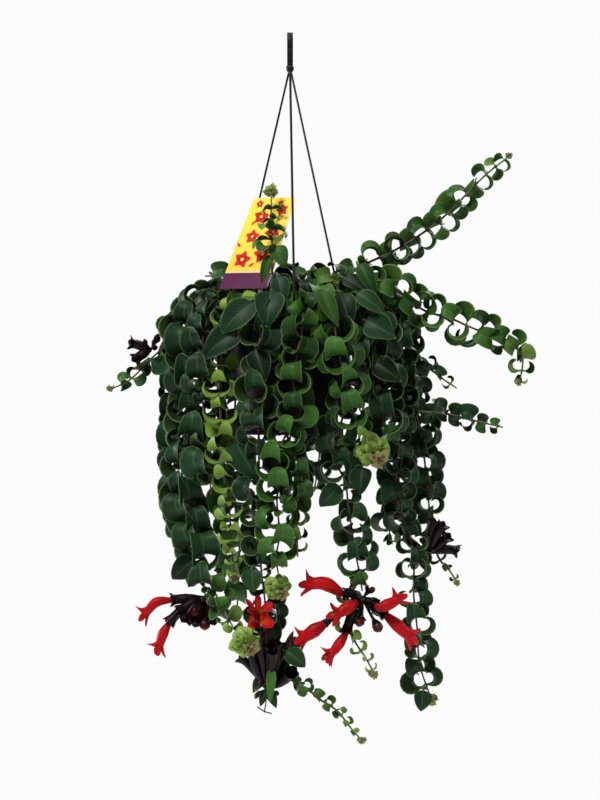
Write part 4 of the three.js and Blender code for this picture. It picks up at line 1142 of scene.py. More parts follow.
def side_of(heading, points):
    """The level way across a stem's bearing, which is given in degrees or seen from its line."""
    far = points[min(4, len(points) - 1)]
    bearing = math.atan2(far[1], far[0]) if heading is None else math.radians(heading)
    return np.array((-math.sin(bearing), math.cos(bearing), 0.0))


def shoots_of(stems, first=0):
    """Every stem and branch with its line. A stem stands straight where it leaves the soil."""
    shoots = []
    for k, stem in enumerate(stems, first):
        rises = [SOIL_Z + rise for rise in (-ROOT_DEPTH, *ROOT_RISES)]
        points = [(*stem.root, z) for z in rises] + list(stem.via)
        route = Route(points, side_of(stem.heading, points))
        shoots.append((stem, route, STEM_SEED + SEED_STEP * k))
        for b, branch in enumerate(stem.branches):
            heading = stem.heading if branch.heading is None else branch.heading
            own = {key: getattr(branch, key) for key in ("leaf", "finish", "fresh")}
            shoot = stem._replace(bare=BRANCH_BARE, **own)
            way = Route(branch.via, side_of(heading, branch.via))
            shoots.append((shoot, way, BRANCH_SEED + SEED_STEP * k + b))
    return shoots


def reserve_stalks(shoots):
    """Keeps room for every stem before the first leaf is fitted in."""
    for stem, route, _ in shoots:
        marks = route.at(np.linspace(0, route.length, int(route.length / MARK_STEP) + 2))
        for k in range(0, len(marks), MARK_GROUP):
            room.place(stem.name, marks[k:k + MARK_GROUP + 1], STEM_CLEAR)


# The length of leaf of all stems and shoots that stand by rule, how far out the back ones stand in
# the soil, in turn, and how far they drift to a side, in degrees
RULED_LEAF = 48
BACK_ROOTS = (40, 48)
BACK_DRIFT = 5


def back_stem(k, angle, reach, low):
    """A stem that comes over the rim behind the pot and hangs down."""
    odd = k % 2
    drift = -BACK_DRIFT if odd else BACK_DRIFT
    points = (
        polar(72, angle, RIM_Z + 16),
        polar(reach * 0.78, angle, RIM_Z + 18 - odd * 8),
        polar(reach, angle + drift * 0.4, RIM_Z - 22),
        polar(reach + 2, angle + drift, (RIM_Z + low) / 2),
        polar(reach - 2, angle + drift * 0.5, low * 0.75 + RIM_Z * 0.25),
        polar(reach - 6, angle + drift, low),
    )
    look = "bright" if k % 3 == 1 else "leaf"
    root = tuple(polar(BACK_ROOTS[odd], angle, 0)[:2])
    return Stem(f"stem_back_{k + 1}", look, root, RULED_LEAF, points, fresh=30)


# The tag stands over these bearings, so the shoots under it stay low.
TAG_SECTOR = (180, 262)
TAG_DROP = 18

# The shoots over these bearings stay short, to leave the front stems in view.
FRONT_SECTOR = (255, 310)
FRONT_REACH = 56

# Crown shoots stand in three rings: how far out they start, how far out they end, how high they
# end, how far chance adds to both, and how far it turns them, in degrees
CROWN_STARTS = (18, 36, 54)
CROWN_REACHES = (34, 66, 92)
CROWN_TOPS = (-284, -288, -300)
CROWN_VARY = 8
CROWN_DRIFT = 14


def crown_shoot(k, count, chance):
    """A short shoot in the heap of leaves over the pot's mouth."""
    angle = 360 * k / count + CROWN_DRIFT * (chance() - 0.5)
    ring = k % 3
    start = CROWN_STARTS[ring]
    reach = CROWN_REACHES[ring] + CROWN_VARY * chance()
    top = CROWN_TOPS[ring] + CROWN_VARY * chance()
    if TAG_SECTOR[0] < angle < TAG_SECTOR[1]:
        top -= TAG_DROP
    if FRONT_SECTOR[0] < angle < FRONT_SECTOR[1]:
        reach = min(reach, FRONT_REACH)
    points = (
        polar(start + 3, angle, SOIL_Z + 24),
        polar((start + reach) / 2, angle, (SOIL_Z + 40 + top) / 2),
        polar(reach, angle, top),
    )
    root = tuple(polar(start, angle, 0)[:2])
    # Most crown shoots take the old look, whose darker greens are painted shade deep in the heap.
    look = "bright" if k % 9 == 2 else "old"
    return Stem("crown", look, root, RULED_LEAF, points, bare=22, fresh=14, curl=0.75)


# ------------------------------------------------------------------ flowers

# How far along and how wide: an open sheath, a closed bud and a red tube up to its mouth.
OPEN_SHEATH = (
    (0, 0.35), (0.16, 0.5), (0.32, 0.85), (0.55, 1.05), (0.8, 0.98), (0.9, 1.04), (1, 1.42),
)
CLOSED_BUD = (
    (0, 0.25), (0.45, 0.3), (0.56, 0.72), (0.66, 0.95), (0.8, 0.97), (0.9, 0.8), (1, 0.1),
)
TUBE = ((0, 3.2), (0.2, 4.8), (0.45, 6.3), (0.7, 5.6), (0.88, 4.6), (1, 4.6))

# Rings outside and inside a sheath, how many of the first ones need no room, and its ribs
SHEATH_RINGS = 24
SHEATH_INNER = 8
SHEATH_SIDES = 20
SHEATH_BARE = 8
PARTS = 5
RIB = 0.06

# Shares of a flower's length where its lobes part and where its hood starts, its rings that have
# no inner wall, and its stamens
MOUTH = 0.88
HOOD = 0.76
TUBE_SIDES = 40
TUBE_BACK = 9
THREADS = 4
THREAD_RADIUS = 0.32
ANTHER = (0.2, 0.62, 0.78, 0.78, 0.6, 0.15)
FLOWER_UP = (0, 0, 1)


def add_sheath(shell, hub, sheath, name):
    """A dark tube with five shallow ribs and teeth, open at its end, or a closed bud."""
    shape = bpy.context.scene.plant_flowers
    hub = np.array(hub, float)
    tip = np.array(sheath.end, float)
    x, _, z = tip
    sway = (4 * math.sin(x * 1.7), 3 * math.sin(x + z), 3 + 4 * math.sin(z * 1.3))
    bow = (hub + tip) / 2 + sway if sheath.bow is None else np.array(sheath.bow, float)
    line = bezier(hub, bow, tip, SHEATH_RINGS)
    share = np.linspace(0, 1, SHEATH_RINGS)
    turn = turns(SHEATH_SIDES)
    profile = np.array(CLOSED_BUD if sheath.bud else OPEN_SHEATH)
    width = np.interp(share, profile[:, 0], profile[:, 1]) * sheath.radius
    fade = np.clip((share - 0.4) * 3, 0, 1)[:, None]
    rib = 1 + RIB * np.cos(PARTS * turn)[None] * fade
    way, across, over = frames(line, (0, 1, 0.1))
    ring = rays(across, over, turn)
    outer = line[:, None] + ring * (width[:, None] * rib)[..., None]
    room.place(name, outer[SHEATH_BARE:], FLOWER_CLEAR)
    tone = (x * 0.37 + z * 0.61) % 1
    if sheath.bud:
        blush = np.clip((share - 0.78) / 0.2, 0, 1)[:, None]
        shell.add_rings(outer, along=share[:, None], inside=0.0, tone=tone, blush=blush)
        return
    tooth = shape.tooth * (0.54 + 0.46 * np.cos(PARTS * turn))[:, None]
    lip = outer[-1] + way[-1] * tooth + ring[-1] * 0.25 * tooth
    depth = np.linspace(1, 0.55, SHEATH_INNER)
    k = np.round(depth * (SHEATH_RINGS - 1)).astype(int)
    inner = line[k][:, None] + ring[k] * (width[k] - shape.sheath_wall)[:, None, None]
    inner[0] += way[-1] * tooth * 0.8
    rings = np.concatenate((outer, lip[None], inner))
    inside = np.repeat((0.0, 1.0), (SHEATH_RINGS + 1, SHEATH_INNER))
    along = np.concatenate((share, [1], depth))
    shell.add_rings(rings, along=along[:, None], inside=inside[:, None], tone=tone, blush=0.0)


def add_threads(shell, start, mouth, ways, chance):
    """The stamens, which end in a pale swelling a little outside the mouth."""
    way, across, over = ways
    for k in range(THREADS):
        side = (k - 1.5) * 1.1
        rise = 2.6 + 0.5 * chance()
        end = mouth + across * rise + over * side + way * (2 + 2 * chance())
        thread = bezier(start, (start + end) / 2 + across * 0.8, end, 9)
        shell.add_rings(sweep(thread, circle(5), THREAD_RADIUS, FLOWER_UP), young=0.0)
        tip = end + np.linspace(-1, 1.2, len(ANTHER))[:, None] * way
        shell.add_rings(sweep(tip, circle(6), ANTHER, FLOWER_UP), young=1.0)


def add_corolla(shell, threads, corolla, name, chance):
    """A red tube that widens to a two-lipped mouth of five lobes, with its threads inside."""
    shape = bpy.context.scene.plant_flowers
    route = Route(corolla.path)
    share = np.concatenate((np.linspace(0, MOUTH, 18), np.linspace(0.9, 1, 9)))
    line = route.at(share * route.length)
    way, across, over = frames(line, FLOWER_UP)
    turn = turns(TUBE_SIDES)
    profile = np.array(TUBE)
    width = np.interp(share, profile[:, 0], profile[:, 1]) * corolla.thick
    open_share = np.clip((share - MOUTH) / (1 - MOUTH), 0, 1)[:, None]
    lobes = ((1 + np.cos(PARTS * (turn - 0.22 * np.sin(turn)))) / 2) ** 0.4
    upper = np.clip(np.cos(turn) * 2 - 0.6, 0, 1)
    reach = (shape.lobe_spread + upper * shape.lobe_rise) * corolla.spread
    hood = np.clip((share - HOOD) / (1 - HOOD), 0, 1)[:, None] ** 1.4
    spread = width[:, None] + lobes * reach * (open_share**1.5 * (1 - upper) + hood * upper)
    ahead = lobes * shape.lobe * (1 - 1.15 * upper) * open_share
    ring = rays(across, over, turn)
    forward = way[:, None] * ahead[..., None]
    outer = line[:, None] + ring * spread[..., None] + forward
    back = np.arange(len(share) - 1, TUBE_BACK, -1)
    wall = shape.petal_wall
    inner = (line[:, None] + ring * (spread - wall)[..., None] + forward)[back]
    inner[0] = outer[-1] - ring[-1] * wall * 0.6 + way[-1] * 0.15
    rings = np.concatenate((outer, inner))
    along = np.concatenate((share, share[back]))[:, None]
    inside = np.repeat((0.0, 1.0), (len(share), len(back)))[:, None]
    rim = np.clip((along - 0.95) / 0.05, 0, 1) * (0.35 + 0.65 * lobes[None])
    around = turn / (2 * math.pi)
    shell.add_rings(rings, along=along, inside=inside, rim=rim, around=around, tone=chance())
    room.place(name, outer[::3, ::3], FLOWER_CLEAR)
    start = route.at(route.length * 0.6) + across[-1] * 1.2
    add_threads(threads, start, line[-1], (way[-1], across[-1], over[-1]), chance)


ROSETTE_AXIS = (0.22, -0.8, -0.55)
ROSETTE_LEAVES = 26
TIP_LEAVES = 14
HEART_SHARE = 0.3
HEART_SHIFT = np.array((0.1, -0.08, -0.1))
GOLDEN_TURN = math.pi * (3 - math.sqrt(5))


def stem_points():
    """Points along every stem that shows, in one list."""
    return np.vstack([route.line for _, route, _ in shoots_of(STEMS)])


def add_leafstalk(shell, stems, end, way, side, finish=0):
    """A short stalk from the nearest stem to what it carries, unless that stands on the stem."""
    near = stems[np.linalg.norm(stems - end, axis=1).argmin()]
    gap = np.linalg.norm(near - end)
    if gap < STALK_LEAST:
        return
    line = bezier(near, end - np.array(way) * gap * 0.4, end, 10)
    rings = sweep(line, circle(7), BROAD_STALK, side)
    shell.add_rings(
        rings, finish=finish, along=0.0, across=0.0, young=0.4, under=0.0, rim=0.0, tone=0.6
    )


def add_rosette(shell, at, size, chance, count):
    """A ruffled cup: broad leaves that roll back outside, smaller ones inside, tan at the heart."""
    axis = unit(ROSETTE_AXIS)
    side = unit(np.cross(axis, (0, 0, 1)))
    over = np.cross(axis, side)
    for k in range(count):
        share = (k + 0.5) / count
        tilt = 0.15 + 2.0 * share**0.7
        turn = GOLDEN_TURN * k
        ray = side * math.cos(turn) + over * math.sin(turn)
        out = axis * math.cos(tilt) + ray * math.sin(tilt)
        up = axis * math.sin(tilt) - ray * math.cos(tilt)
        lean = np.cross(out, up)
        up = unit(up + 0.7 * (chance() - 0.5) * lean)
        is_heart = share < HEART_SHARE
        length = size * (0.3 + 0.42 * share) * (0.85 + 0.3 * chance())
        roll = 1.0 + 1.8 * chance()
        shift = HEART_SHIFT if is_heart else -0.4 * HEART_SHIFT
        base = at + out * size * 0.05 + shift * size
        leaf = Leaf(base, out, up, length, 0.6 if is_heart else 0.9, roll, 0.3)
        add_leaf(shell, leaf, chance, chance() * 0.8, PLAIN, int(is_heart), ruffle=3)


# ------------------------------------------------------------------ settings


def number_setting(name, description, default, low, high):
    return FloatProperty(name=name, description=description, default=default, min=low, max=high)


def angle_setting(name, description, default):
    return FloatProperty(name=name, description=description, subtype="ANGLE", default=default)


def metre_setting(name, description, default):
    return FloatProperty(name=name, description=description, default=default, unit="LENGTH")


def color_setting(name, description, default):
    return FloatVectorProperty(
        name=name, description=description, subtype="COLOR", size=3, min=0, max=1, default=default
    )


class LeafSettings(bpy.types.PropertyGroup):
    """Shape and colours of the leaves and stalks"""

    internode: number_setting("Internode", "Millimetres from one leaf pair to the next", 16, 10, 60)
    size: number_setting("Size", "Length of a leaf against its stem's usual leaf", 1.0, 0.5, 2)
    light: number_setting("Light", "How far the leaves turn to the light outside", 0.45, 0, 2)
    twist: angle_setting("Twist", "How far a blade turns", 0.65)
    thickness: number_setting("Thickness", "A full-grown blade's, in millimetres", 1.1, 0.5, 3)
    groove: number_setting("Groove", "How deep the midrib's groove is, in millimetres", 0.45, 0, 2)
    neck: number_setting("Neck", "Half the width of the leaf's stalk, in millimetres", 1.5, 0.5, 3)
    arch: number_setting("Arch", "How far the sides bend away from the hollow side", 0.44, 0, 1)
    wave: number_setting("Wave", "How far the edge waves against half the width", 0.12, 0, 0.5)
    aspect: number_setting("Aspect", "Width of a leaf against its length", 0.62, 0.3, 1)
    roughness: number_setting("Roughness", "Roughness of the upper face", 0.42, 0, 1)
    roll: angle_setting("Roll", "How far a leaf rolls back", 4.5)
    crown: IntProperty(name="Crown shoots", description="Shoots over the pot", default=24, min=0)
    deep_color: color_setting("Old leaf", "Darkest green of old leaves", (0.0025, 0.015, 0.006))
    light_color: color_setting("Leaf", "Lighter green of old leaves", (0.014, 0.056, 0.017))
    # The crown greens are the leaf's painted darker, as painted shade deep in the heap over the
    # pot.
    old_deep: color_setting("Crown leaf", "Darkest green over the pot", (0.001, 0.0065, 0.0025))
    old_light: color_setting("Crown leaf light", "Its lighter green", (0.004, 0.018, 0.005))
    bright_deep_color: color_setting("Bright leaf", "Green of young stems", (0.007, 0.038, 0.005))
    bright_color: color_setting("Bright leaf light", "Its light green", (0.055, 0.165, 0.02))
    young_color: color_setting("Young leaf", "Lime green of leaves at a tip", (0.24, 0.38, 0.06))
    lime_color: color_setting("Lime leaf", "Lime green of the youngest stem", (0.19, 0.34, 0.045))
    tip_color: color_setting("Tip leaf", "Yellow-green of the smallest leaves", (0.34, 0.45, 0.11))
    under_color: color_setting("Underside", "Hollow side of old leaves", (0.014, 0.034, 0.006))
    bright_under: color_setting("Bright underside", "Its hollow side", (0.03, 0.085, 0.008))
    lime_under: color_setting("Lime underside", "Hollow side of lime leaves", (0.16, 0.27, 0.035))
    bud_color: color_setting("Leaf bud", "Tan of the smallest leaves", (0.17, 0.13, 0.04))
    bud_light: color_setting("Leaf bud light", "Cream of the smallest leaves", (0.36, 0.3, 0.13))
    # The rim colour is partly the blade's own pale margin and partly painted highlight.
    rim_color: color_setting("Rim", "Pale edge and midrib", (0.2, 0.33, 0.11))
    bark_color: color_setting("Bark", "Maroon-brown of the stems", (0.042, 0.017, 0.014))
    young_stalk_color: color_setting("Young stalk", "Green of a young stem", (0.13, 0.15, 0.035))


class FlowerSettings(bpy.types.PropertyGroup):
    """Shape and colours of the flowers"""

    tooth: number_setting("Tooth", "Reach of a sheath's teeth, in millimetres", 2.6, 0, 5)
    sheath_wall: number_setting("Sheath wall", "Thickness of a sheath, in millimetres", 0.6, 0.3, 2)
    petal_wall: number_setting("Petal wall", "Thickness of a petal, in millimetres", 0.6, 0.3, 2)
    lobe: number_setting("Lobe", "How far the lower lobes reach, in millimetres", 9, 0, 20)
    lobe_spread: number_setting("Lobe spread", "Spread of the lobes, in millimetres", 6.5, 0, 12)
    lobe_rise: number_setting("Lobe rise", "Rise of the upper lobe, in millimetres", 5, 0, 9)
    petal_color: color_setting("Petal", "Scarlet", (0.36, 0.002, 0.006))
    petal_light: color_setting("Petal light", "Lighter scarlet", (0.6, 0.002, 0.004))
    petal_root: color_setting("Petal root", "Deep red at the sheath", (0.17, 0.001, 0.005))
    petal_rim: color_setting("Petal rim", "Pinkish edge", (0.5, 0.008, 0.025))
    throat_color: color_setting("Throat", "Orange-yellow inside", (0.8, 0.22, 0.02))
    sheath_color: color_setting("Sheath", "Nearly black maroon", (0.0025, 0.0008, 0.0015))
    # The sheath's violet-brown is painted sheen, laid in patches by the grain.
    sheath_light: color_setting("Sheath sheen", "Violet-brown", (0.013, 0.0035, 0.006))
    bud_blush: color_setting("Bud tip", "Wine red at a bud's point", (0.07, 0.002, 0.006))


class PotSettings(bpy.types.PropertyGroup):
    """Colours and finish of the pot, the hanger and the soil"""

    dark: color_setting("Plastic", "Charcoal", (0.0012, 0.0014, 0.0022))
    pale: color_setting("Plastic light", "Handled patches", (0.005, 0.006, 0.01))
    roughness: number_setting("Roughness", "Roughness of the pot", 0.3, 0, 1)
    soil_dark: color_setting("Soil", "Moist peat", (0.012, 0.007, 0.004))
    soil_pale: color_setting("Soil light", "Dry crumbs", (0.075, 0.045, 0.026))


class LabelSettings(bpy.types.PropertyGroup):
    """Colours of the plant tag"""

    field: color_setting("Field", "Yellow", (0.95, 0.66, 0.07))
    band: color_setting("Band", "Plum", (0.115, 0.018, 0.075))
    edge: color_setting("Edge", "Cut edge of the plate", (0.75, 0.66, 0.6))
    motif: color_setting("Motif", "Red of the printed blossoms", (0.6, 0.012, 0.016))


class StageSettings(bpy.types.PropertyGroup):
    """Light, floor and camera"""

    lens: FloatProperty(name="Lens", description="Focal length", default=240, unit="CAMERA")
    distance: metre_setting("Distance", "From the camera to the object", 6.24)
    floor: metre_setting("Floor", "Height of the floor", -1.25)
    backdrop: FloatProperty(name="Backdrop", description="Brightness behind", default=0.97, min=0)
    fill: FloatProperty(name="Fill", description="Brightness from all round", default=0.024, min=0)
    key: FloatProperty(name="Key", description="Power of the key light", default=108, unit="POWER")


# ------------------------------------------------------------------ pieces


def take(operator, pieces):
    """Reports what an operator made, and raises if it made nothing."""
    if not pieces:
        raise RuntimeError(operator.bl_label + " made no piece")
    operator.report({"INFO"}, f"{operator.bl_label}: {len(pieces)} pieces")
    return {"FINISHED"}


def hook_line():
    """The strap rises from the boss, leans forward, and bends over the seat to its free end."""
    middle = HOOK_RADIUS + HOOK_THICK / 2
    turns = np.linspace(math.pi, 0, 25)
    bend = [(0, middle * math.cos(a), middle * math.sin(a) - HOOK_RADIUS) for a in turns]
    start = [(0, 0, BOSS_TOP - 1), (0, 0, BOSS_TOP + 8), (0, -middle / 2, BOSS_TOP + 14)]
    points = [*start, (0, -middle, -2 * HOOK_RADIUS), *bend, (0, middle, -HOOK_RADIUS - HOOK_LIP)]
    lower = Route(points[:5])
    rise = lower.at(np.linspace(0, lower.run[-SPAN_STEPS - 1], 16))
    return np.vstack((rise, np.array(bend), points[-1]))


def add_arm(shell, angle):
    """A straight rod from the boss to the rim, and its clip. Returns the two ends of the rod."""
    outer = RIM_RADIUS + GAP + CLIP_THICK / 2
    inner = (RIM_RADIUS - RIM_THICK) * math.cos(math.pi / POT_SIDES) - GAP - CLIP_THICK / 2
    top = RIM_Z + GAP + CLIP_THICK / 2
    across = polar(1, angle + 90, 0)
    start = polar(ARM_START, angle, BOSS_BOTTOM - GAP)
    foot = polar(outer, angle, top)
    share = np.linspace(0, 1, ARM_RINGS)[:, None]
    rod = rounded_bar(ARM_WIDTH, ARM_THICK, ARM_CORNER)
    shell.add_rings(sweep(start + (foot - start) * share, rod, 1, across))
    path = [
        (outer, RIM_Z - RIM_BAND + 1), (outer, RIM_Z - 3), (outer, top), (inner, top),
        (inner, RIM_Z - 3), (inner, RIM_Z - CLIP_REACH),
    ]
    bent = [polar(r, angle, z) for r, z in round_off(path, CLIP_BEND, CLIP_STEPS)]
    strap = rounded_bar(CLIP_WIDTH, CLIP_THICK, CLIP_CORNER)
    shell.add_rings(sweep(np.array(bent), strap, 1, across))
    return start, foot


class PLANT_OT_hanger(bpy.types.Operator):
    """Make the hook and the three arms that hold the pot"""

    bl_idname = "plant.hanger"
    bl_label = "Hanger"

    def execute(self, context):
        pot = context.scene.plant_pot
        roughness = pot.roughness + HANGER_ROUGHER
        plastic = plastic_material("Hanger plastic", pot.dark, pot.pale, roughness)
        hook = Shell()
        bar = rounded_bar(HOOK_THICK, HOOK_WIDTH, HOOK_CORNER)
        line = hook_line()
        taper = np.ones(len(line))
        taper[-1] = HOOK_TAPER
        hook.add_rings(sweep(line, bar, taper, (0, 1, 0)))
        boss = [
            (AXIS_RADIUS, BOSS_BOTTOM), (BOSS_RADIUS - 1.6, BOSS_BOTTOM),
            (BOSS_RADIUS, BOSS_BOTTOM + 3), (BOSS_RADIUS, BOSS_TOP - 2),
            (BOSS_RADIUS - 1.2, BOSS_TOP), (AXIS_RADIUS, BOSS_TOP),
        ]
        hook.add_rings(lathe(round_off(boss, HOOK_CORNER), BOSS_SIDES))
        made = [hook.piece("hook", [plastic], "hanger_plastic", ["hanger_hook"])]
        for name, angle in ARM_ANGLES.items():
            arm = Shell()
            start, foot = add_arm(arm, angle)
            made.append(arm.piece(name.replace("hanger_", ""), [plastic], "hanger_plastic", [name]))
            marks = start + (foot - start) * np.linspace(0, 1, ARM_MARKS)[:, None]
            room.place(name, marks, STEM_CLEAR)
            around = np.pad(circle(8) * FOOT_ROOM, ((0, 0), (0, 1)))
            room.place(name, foot + around, STEM_CLEAR)
        return take(self, made)


def turned_piece(profile, corner, name, plastic, node, joined=False):
    """A shape of the pot's plastic turned round the axis. A joined profile ends where it starts."""
    rounded = round_off(profile, corner)
    shell = Shell()
    shell.add_rings(lathe(rounded[:-1] if joined else rounded, TURNED_SIDES), joined)
    return shell.piece(name, [plastic], "pot_plastic", [node])


class PLANT_OT_pot(bpy.types.Operator):
    """Make the pot and the saucer under it"""

    bl_idname = "plant.pot"
    bl_label = "Pot"

    def execute(self, context):
        finish = context.scene.plant_pot
        plastic = plastic_material("Pot plastic", finish.dark, finish.pale, finish.roughness)
        floor = POT_BASE_Z + POT_WALL
        band = RIM_Z - RIM_BAND
        hole = STUD_RADIUS + GAP
        pot = [
            (hole, POT_BASE_Z), (POT_BASE_RADIUS - 6, POT_BASE_Z),
            (POT_BASE_RADIUS - 4, POT_BASE_Z), (POT_BASE_RADIUS - 1, POT_BASE_Z),
            (POT_BASE_RADIUS, POT_BASE_Z + 3),
            (POT_RADIUS, band - 2), (RIM_RADIUS - 0.6, band - 0.4), (RIM_RADIUS, band + 1),
            (RIM_RADIUS, RIM_Z - 1), (RIM_RADIUS - 0.6, RIM_Z), (RIM_RADIUS - RIM_THICK, RIM_Z),
            (RIM_RADIUS - RIM_THICK, band + 1), (POT_RADIUS - POT_WALL, band - 3),
            (POT_BASE_RADIUS - POT_WALL, floor), (hole, floor), (hole, POT_BASE_Z),
        ]
        top = POT_BASE_Z - GAP
        base = top - SAUCER_WALL
        lip = base + SAUCER_HEIGHT
        head = floor + GAP
        saucer = [
            (AXIS_RADIUS, base), (SAUCER_BASE_RADIUS - 8, base),
            (SAUCER_BASE_RADIUS - 7, base + 0.5), (SAUCER_BASE_RADIUS - 5, base + 0.5),
            (SAUCER_BASE_RADIUS - 4, base), (SAUCER_BASE_RADIUS, base),
            (SAUCER_RADIUS - 1, lip - 2), (SAUCER_RADIUS, lip - 2), (SAUCER_RADIUS, lip),
            (SAUCER_RADIUS - 2.5, lip), (SAUCER_BASE_RADIUS - 1.6, top),
            (STUD_RADIUS, top), (STUD_RADIUS, head), (STUD_HEAD_RADIUS, head),
            (STUD_RADIUS - 1, head + 4), (AXIS_RADIUS, head + 4),
        ]
        return take(self, [
            turned_piece(pot, POT_CORNER, "pot_body", plastic, "pot", joined=True),
            turned_piece(saucer, SAUCER_CORNER, "saucer_dish", plastic, "saucer"),
        ])


class PLANT_OT_soil(bpy.types.Operator):
    """Make the crumbly soil that fills the pot"""

    bl_idname = "plant.soil"
    bl_label = "Soil"

    def execute(self, context):
        finish = context.scene.plant_pot
        colors = (finish.soil_dark, finish.soil_pale)
        earth = grain_material("Soil", colors, SOIL_SCALES, SOIL_FINISH, SOIL_BUMP)
        floor = POT_BASE_Z + POT_WALL + GAP
        slope = (POT_RADIUS - POT_BASE_RADIUS) / (RIM_Z - RIM_BAND - POT_BASE_Z)
        inner = POT_BASE_RADIUS - POT_WALL - 2 * GAP
        side = inner + slope * (SOIL_Z - 4 - POT_BASE_Z)
        profile = [
            (STUD_HEAD_RADIUS + 1, floor + 6), (STUD_HEAD_RADIUS + 1, floor),
            (inner + slope * (floor - POT_BASE_Z), floor), (side, SOIL_Z - 4), (side, SOIL_Z - 1),
        ]
        walls = len(profile)
        for radius in np.linspace(side - 1, 1, SOIL_RINGS):
            rise = SOIL_CROWN * min(1, (side - radius) / (side - 30))
            profile.append((radius, SOIL_Z + rise - 1.2))
        rings = lathe(profile, SOIL_SIDES)
        low, high = CRUMB_LIMITS
        for point in rings[walls:].reshape(-1, 3):
            crumb = noise.fractal(Vector(point * CRUMB_SCALE), 0.8, 2.0, 4)
            point[2] += min(high, max(low, CRUMB_HEIGHT * crumb))
        shell = Shell()
        shell.add_rings(rings)
        return take(self, [shell.piece("soil_fill", [earth], "soil", ["soil"], SOIL_SHARP)])


# The tag: three corners, its width at the top against that at the foot, the share of its height
# that the band takes up, its bevelled edge, and the stick below it
LABEL_LOW_LEFT = np.array((-83.0, -21.0, -300.0))
LABEL_LOW_RIGHT = np.array((-26.0, -55.0, -300.0))
LABEL_TOP_LEFT = np.array((-42.0, 14.0, -192.0))
LABEL_TOP_SHARE = 0.86
LABEL_THICK = 0.9
LABEL_ROUND = 5
LABEL_BAND = 0.17
LABEL_EDGE = 0.15
LABEL_EDGE_DEPTH = 0.12
STICK_WIDTH = 6
STICK_ALONG = 54
STICK_OVERLAP = 6
STICK_ROOT = (-31, -43)
STICK_CORNER = 0.3
PRINT_THICK = 0.12
PETAL_POINTS = 10

# Room kept for the tag: its rows and columns of marks, how many of the lower rows also keep the
# space before them free, and how far ahead that reaches
TAG_ROWS = 25
TAG_COLUMNS = 15
TAG_LOW_ROWS = 5
TAG_AHEAD = (9, 20, 31, 42)
TAG_CLEAR = 1.5
STICK_CLEAR = 2
AHEAD_CLEAR = 5.5

# Blossoms and leaves on the tag: how far across and up it, how large each is, and how far it turns
BLOSSOMS = (
    (0.26, 0.32, 24, 0.1), (0.66, 0.38, 26, 0.5), (0.3, 0.57, 20, 0.3), (0.72, 0.62, 22, 0.8),
    (0.34, 0.79, 22, 0.2), (0.78, 0.86, 17, 0.6), (0.2, 0.93, 11, 0.4),
)
SPRIG_LEAVES = (
    (0.45, 0.24, 9, 0.6), (0.12, 0.46, 8, 2.4), (0.88, 0.27, 8, 1.0), (0.5, 0.5, 9, 2.0),
    (0.18, 0.7, 7, 0.9), (0.62, 0.72, 7, 2.6), (0.64, 0.93, 8, 0.5), (0.9, 0.5, 6, 1.6),
)


def label_frame():
    """The ways along, up and out of the tag's face, and its width, lean and height."""
    along = LABEL_LOW_RIGHT - LABEL_LOW_LEFT
    rise = LABEL_TOP_LEFT - LABEL_LOW_LEFT
    x = unit(along)
    normal = unit(np.cross(x, rise))
    y = np.cross(normal, x)
    return x, y, normal, np.linalg.norm(along), rise.dot(x), rise.dot(y)


def on_label(flat, x, y):
    """Points on the back of the tag, from how far along and up it they are."""
    return LABEL_LOW_LEFT + flat[:, :1] * x + flat[:, 1:] * y


def label_outline(width, lean, height):
    """The tag's four corners, rounded but for the lower left one."""
    top = lean + width * LABEL_TOP_SHARE
    corners = np.array(((0, 0), (width, 0), (top, height), (lean, height)), float)
    points = []
    for k, corner in enumerate(corners):
        before = unit(corners[k - 1] - corner)
        after = unit(corners[(k + 1) % 4] - corner)
        taken = LABEL_ROUND if k else 1
        points.extend(bezier(corner + before * taken, corner, corner + after * taken, 6))
    return np.array(points)


def petal_outline(length, width, turn):
    """A pointed petal from its root at the origin."""
    s = np.linspace(0, 1, PETAL_POINTS)
    half = width / 2 * np.sin(math.pi * s**0.75)
    x = np.concatenate((s * length, s[-2:0:-1] * length))
    y = np.concatenate((half, -half[-2:0:-1]))
    c, n = math.cos(turn), math.sin(turn)
    return np.stack((x * c - y * n, x * n + y * c), -1)


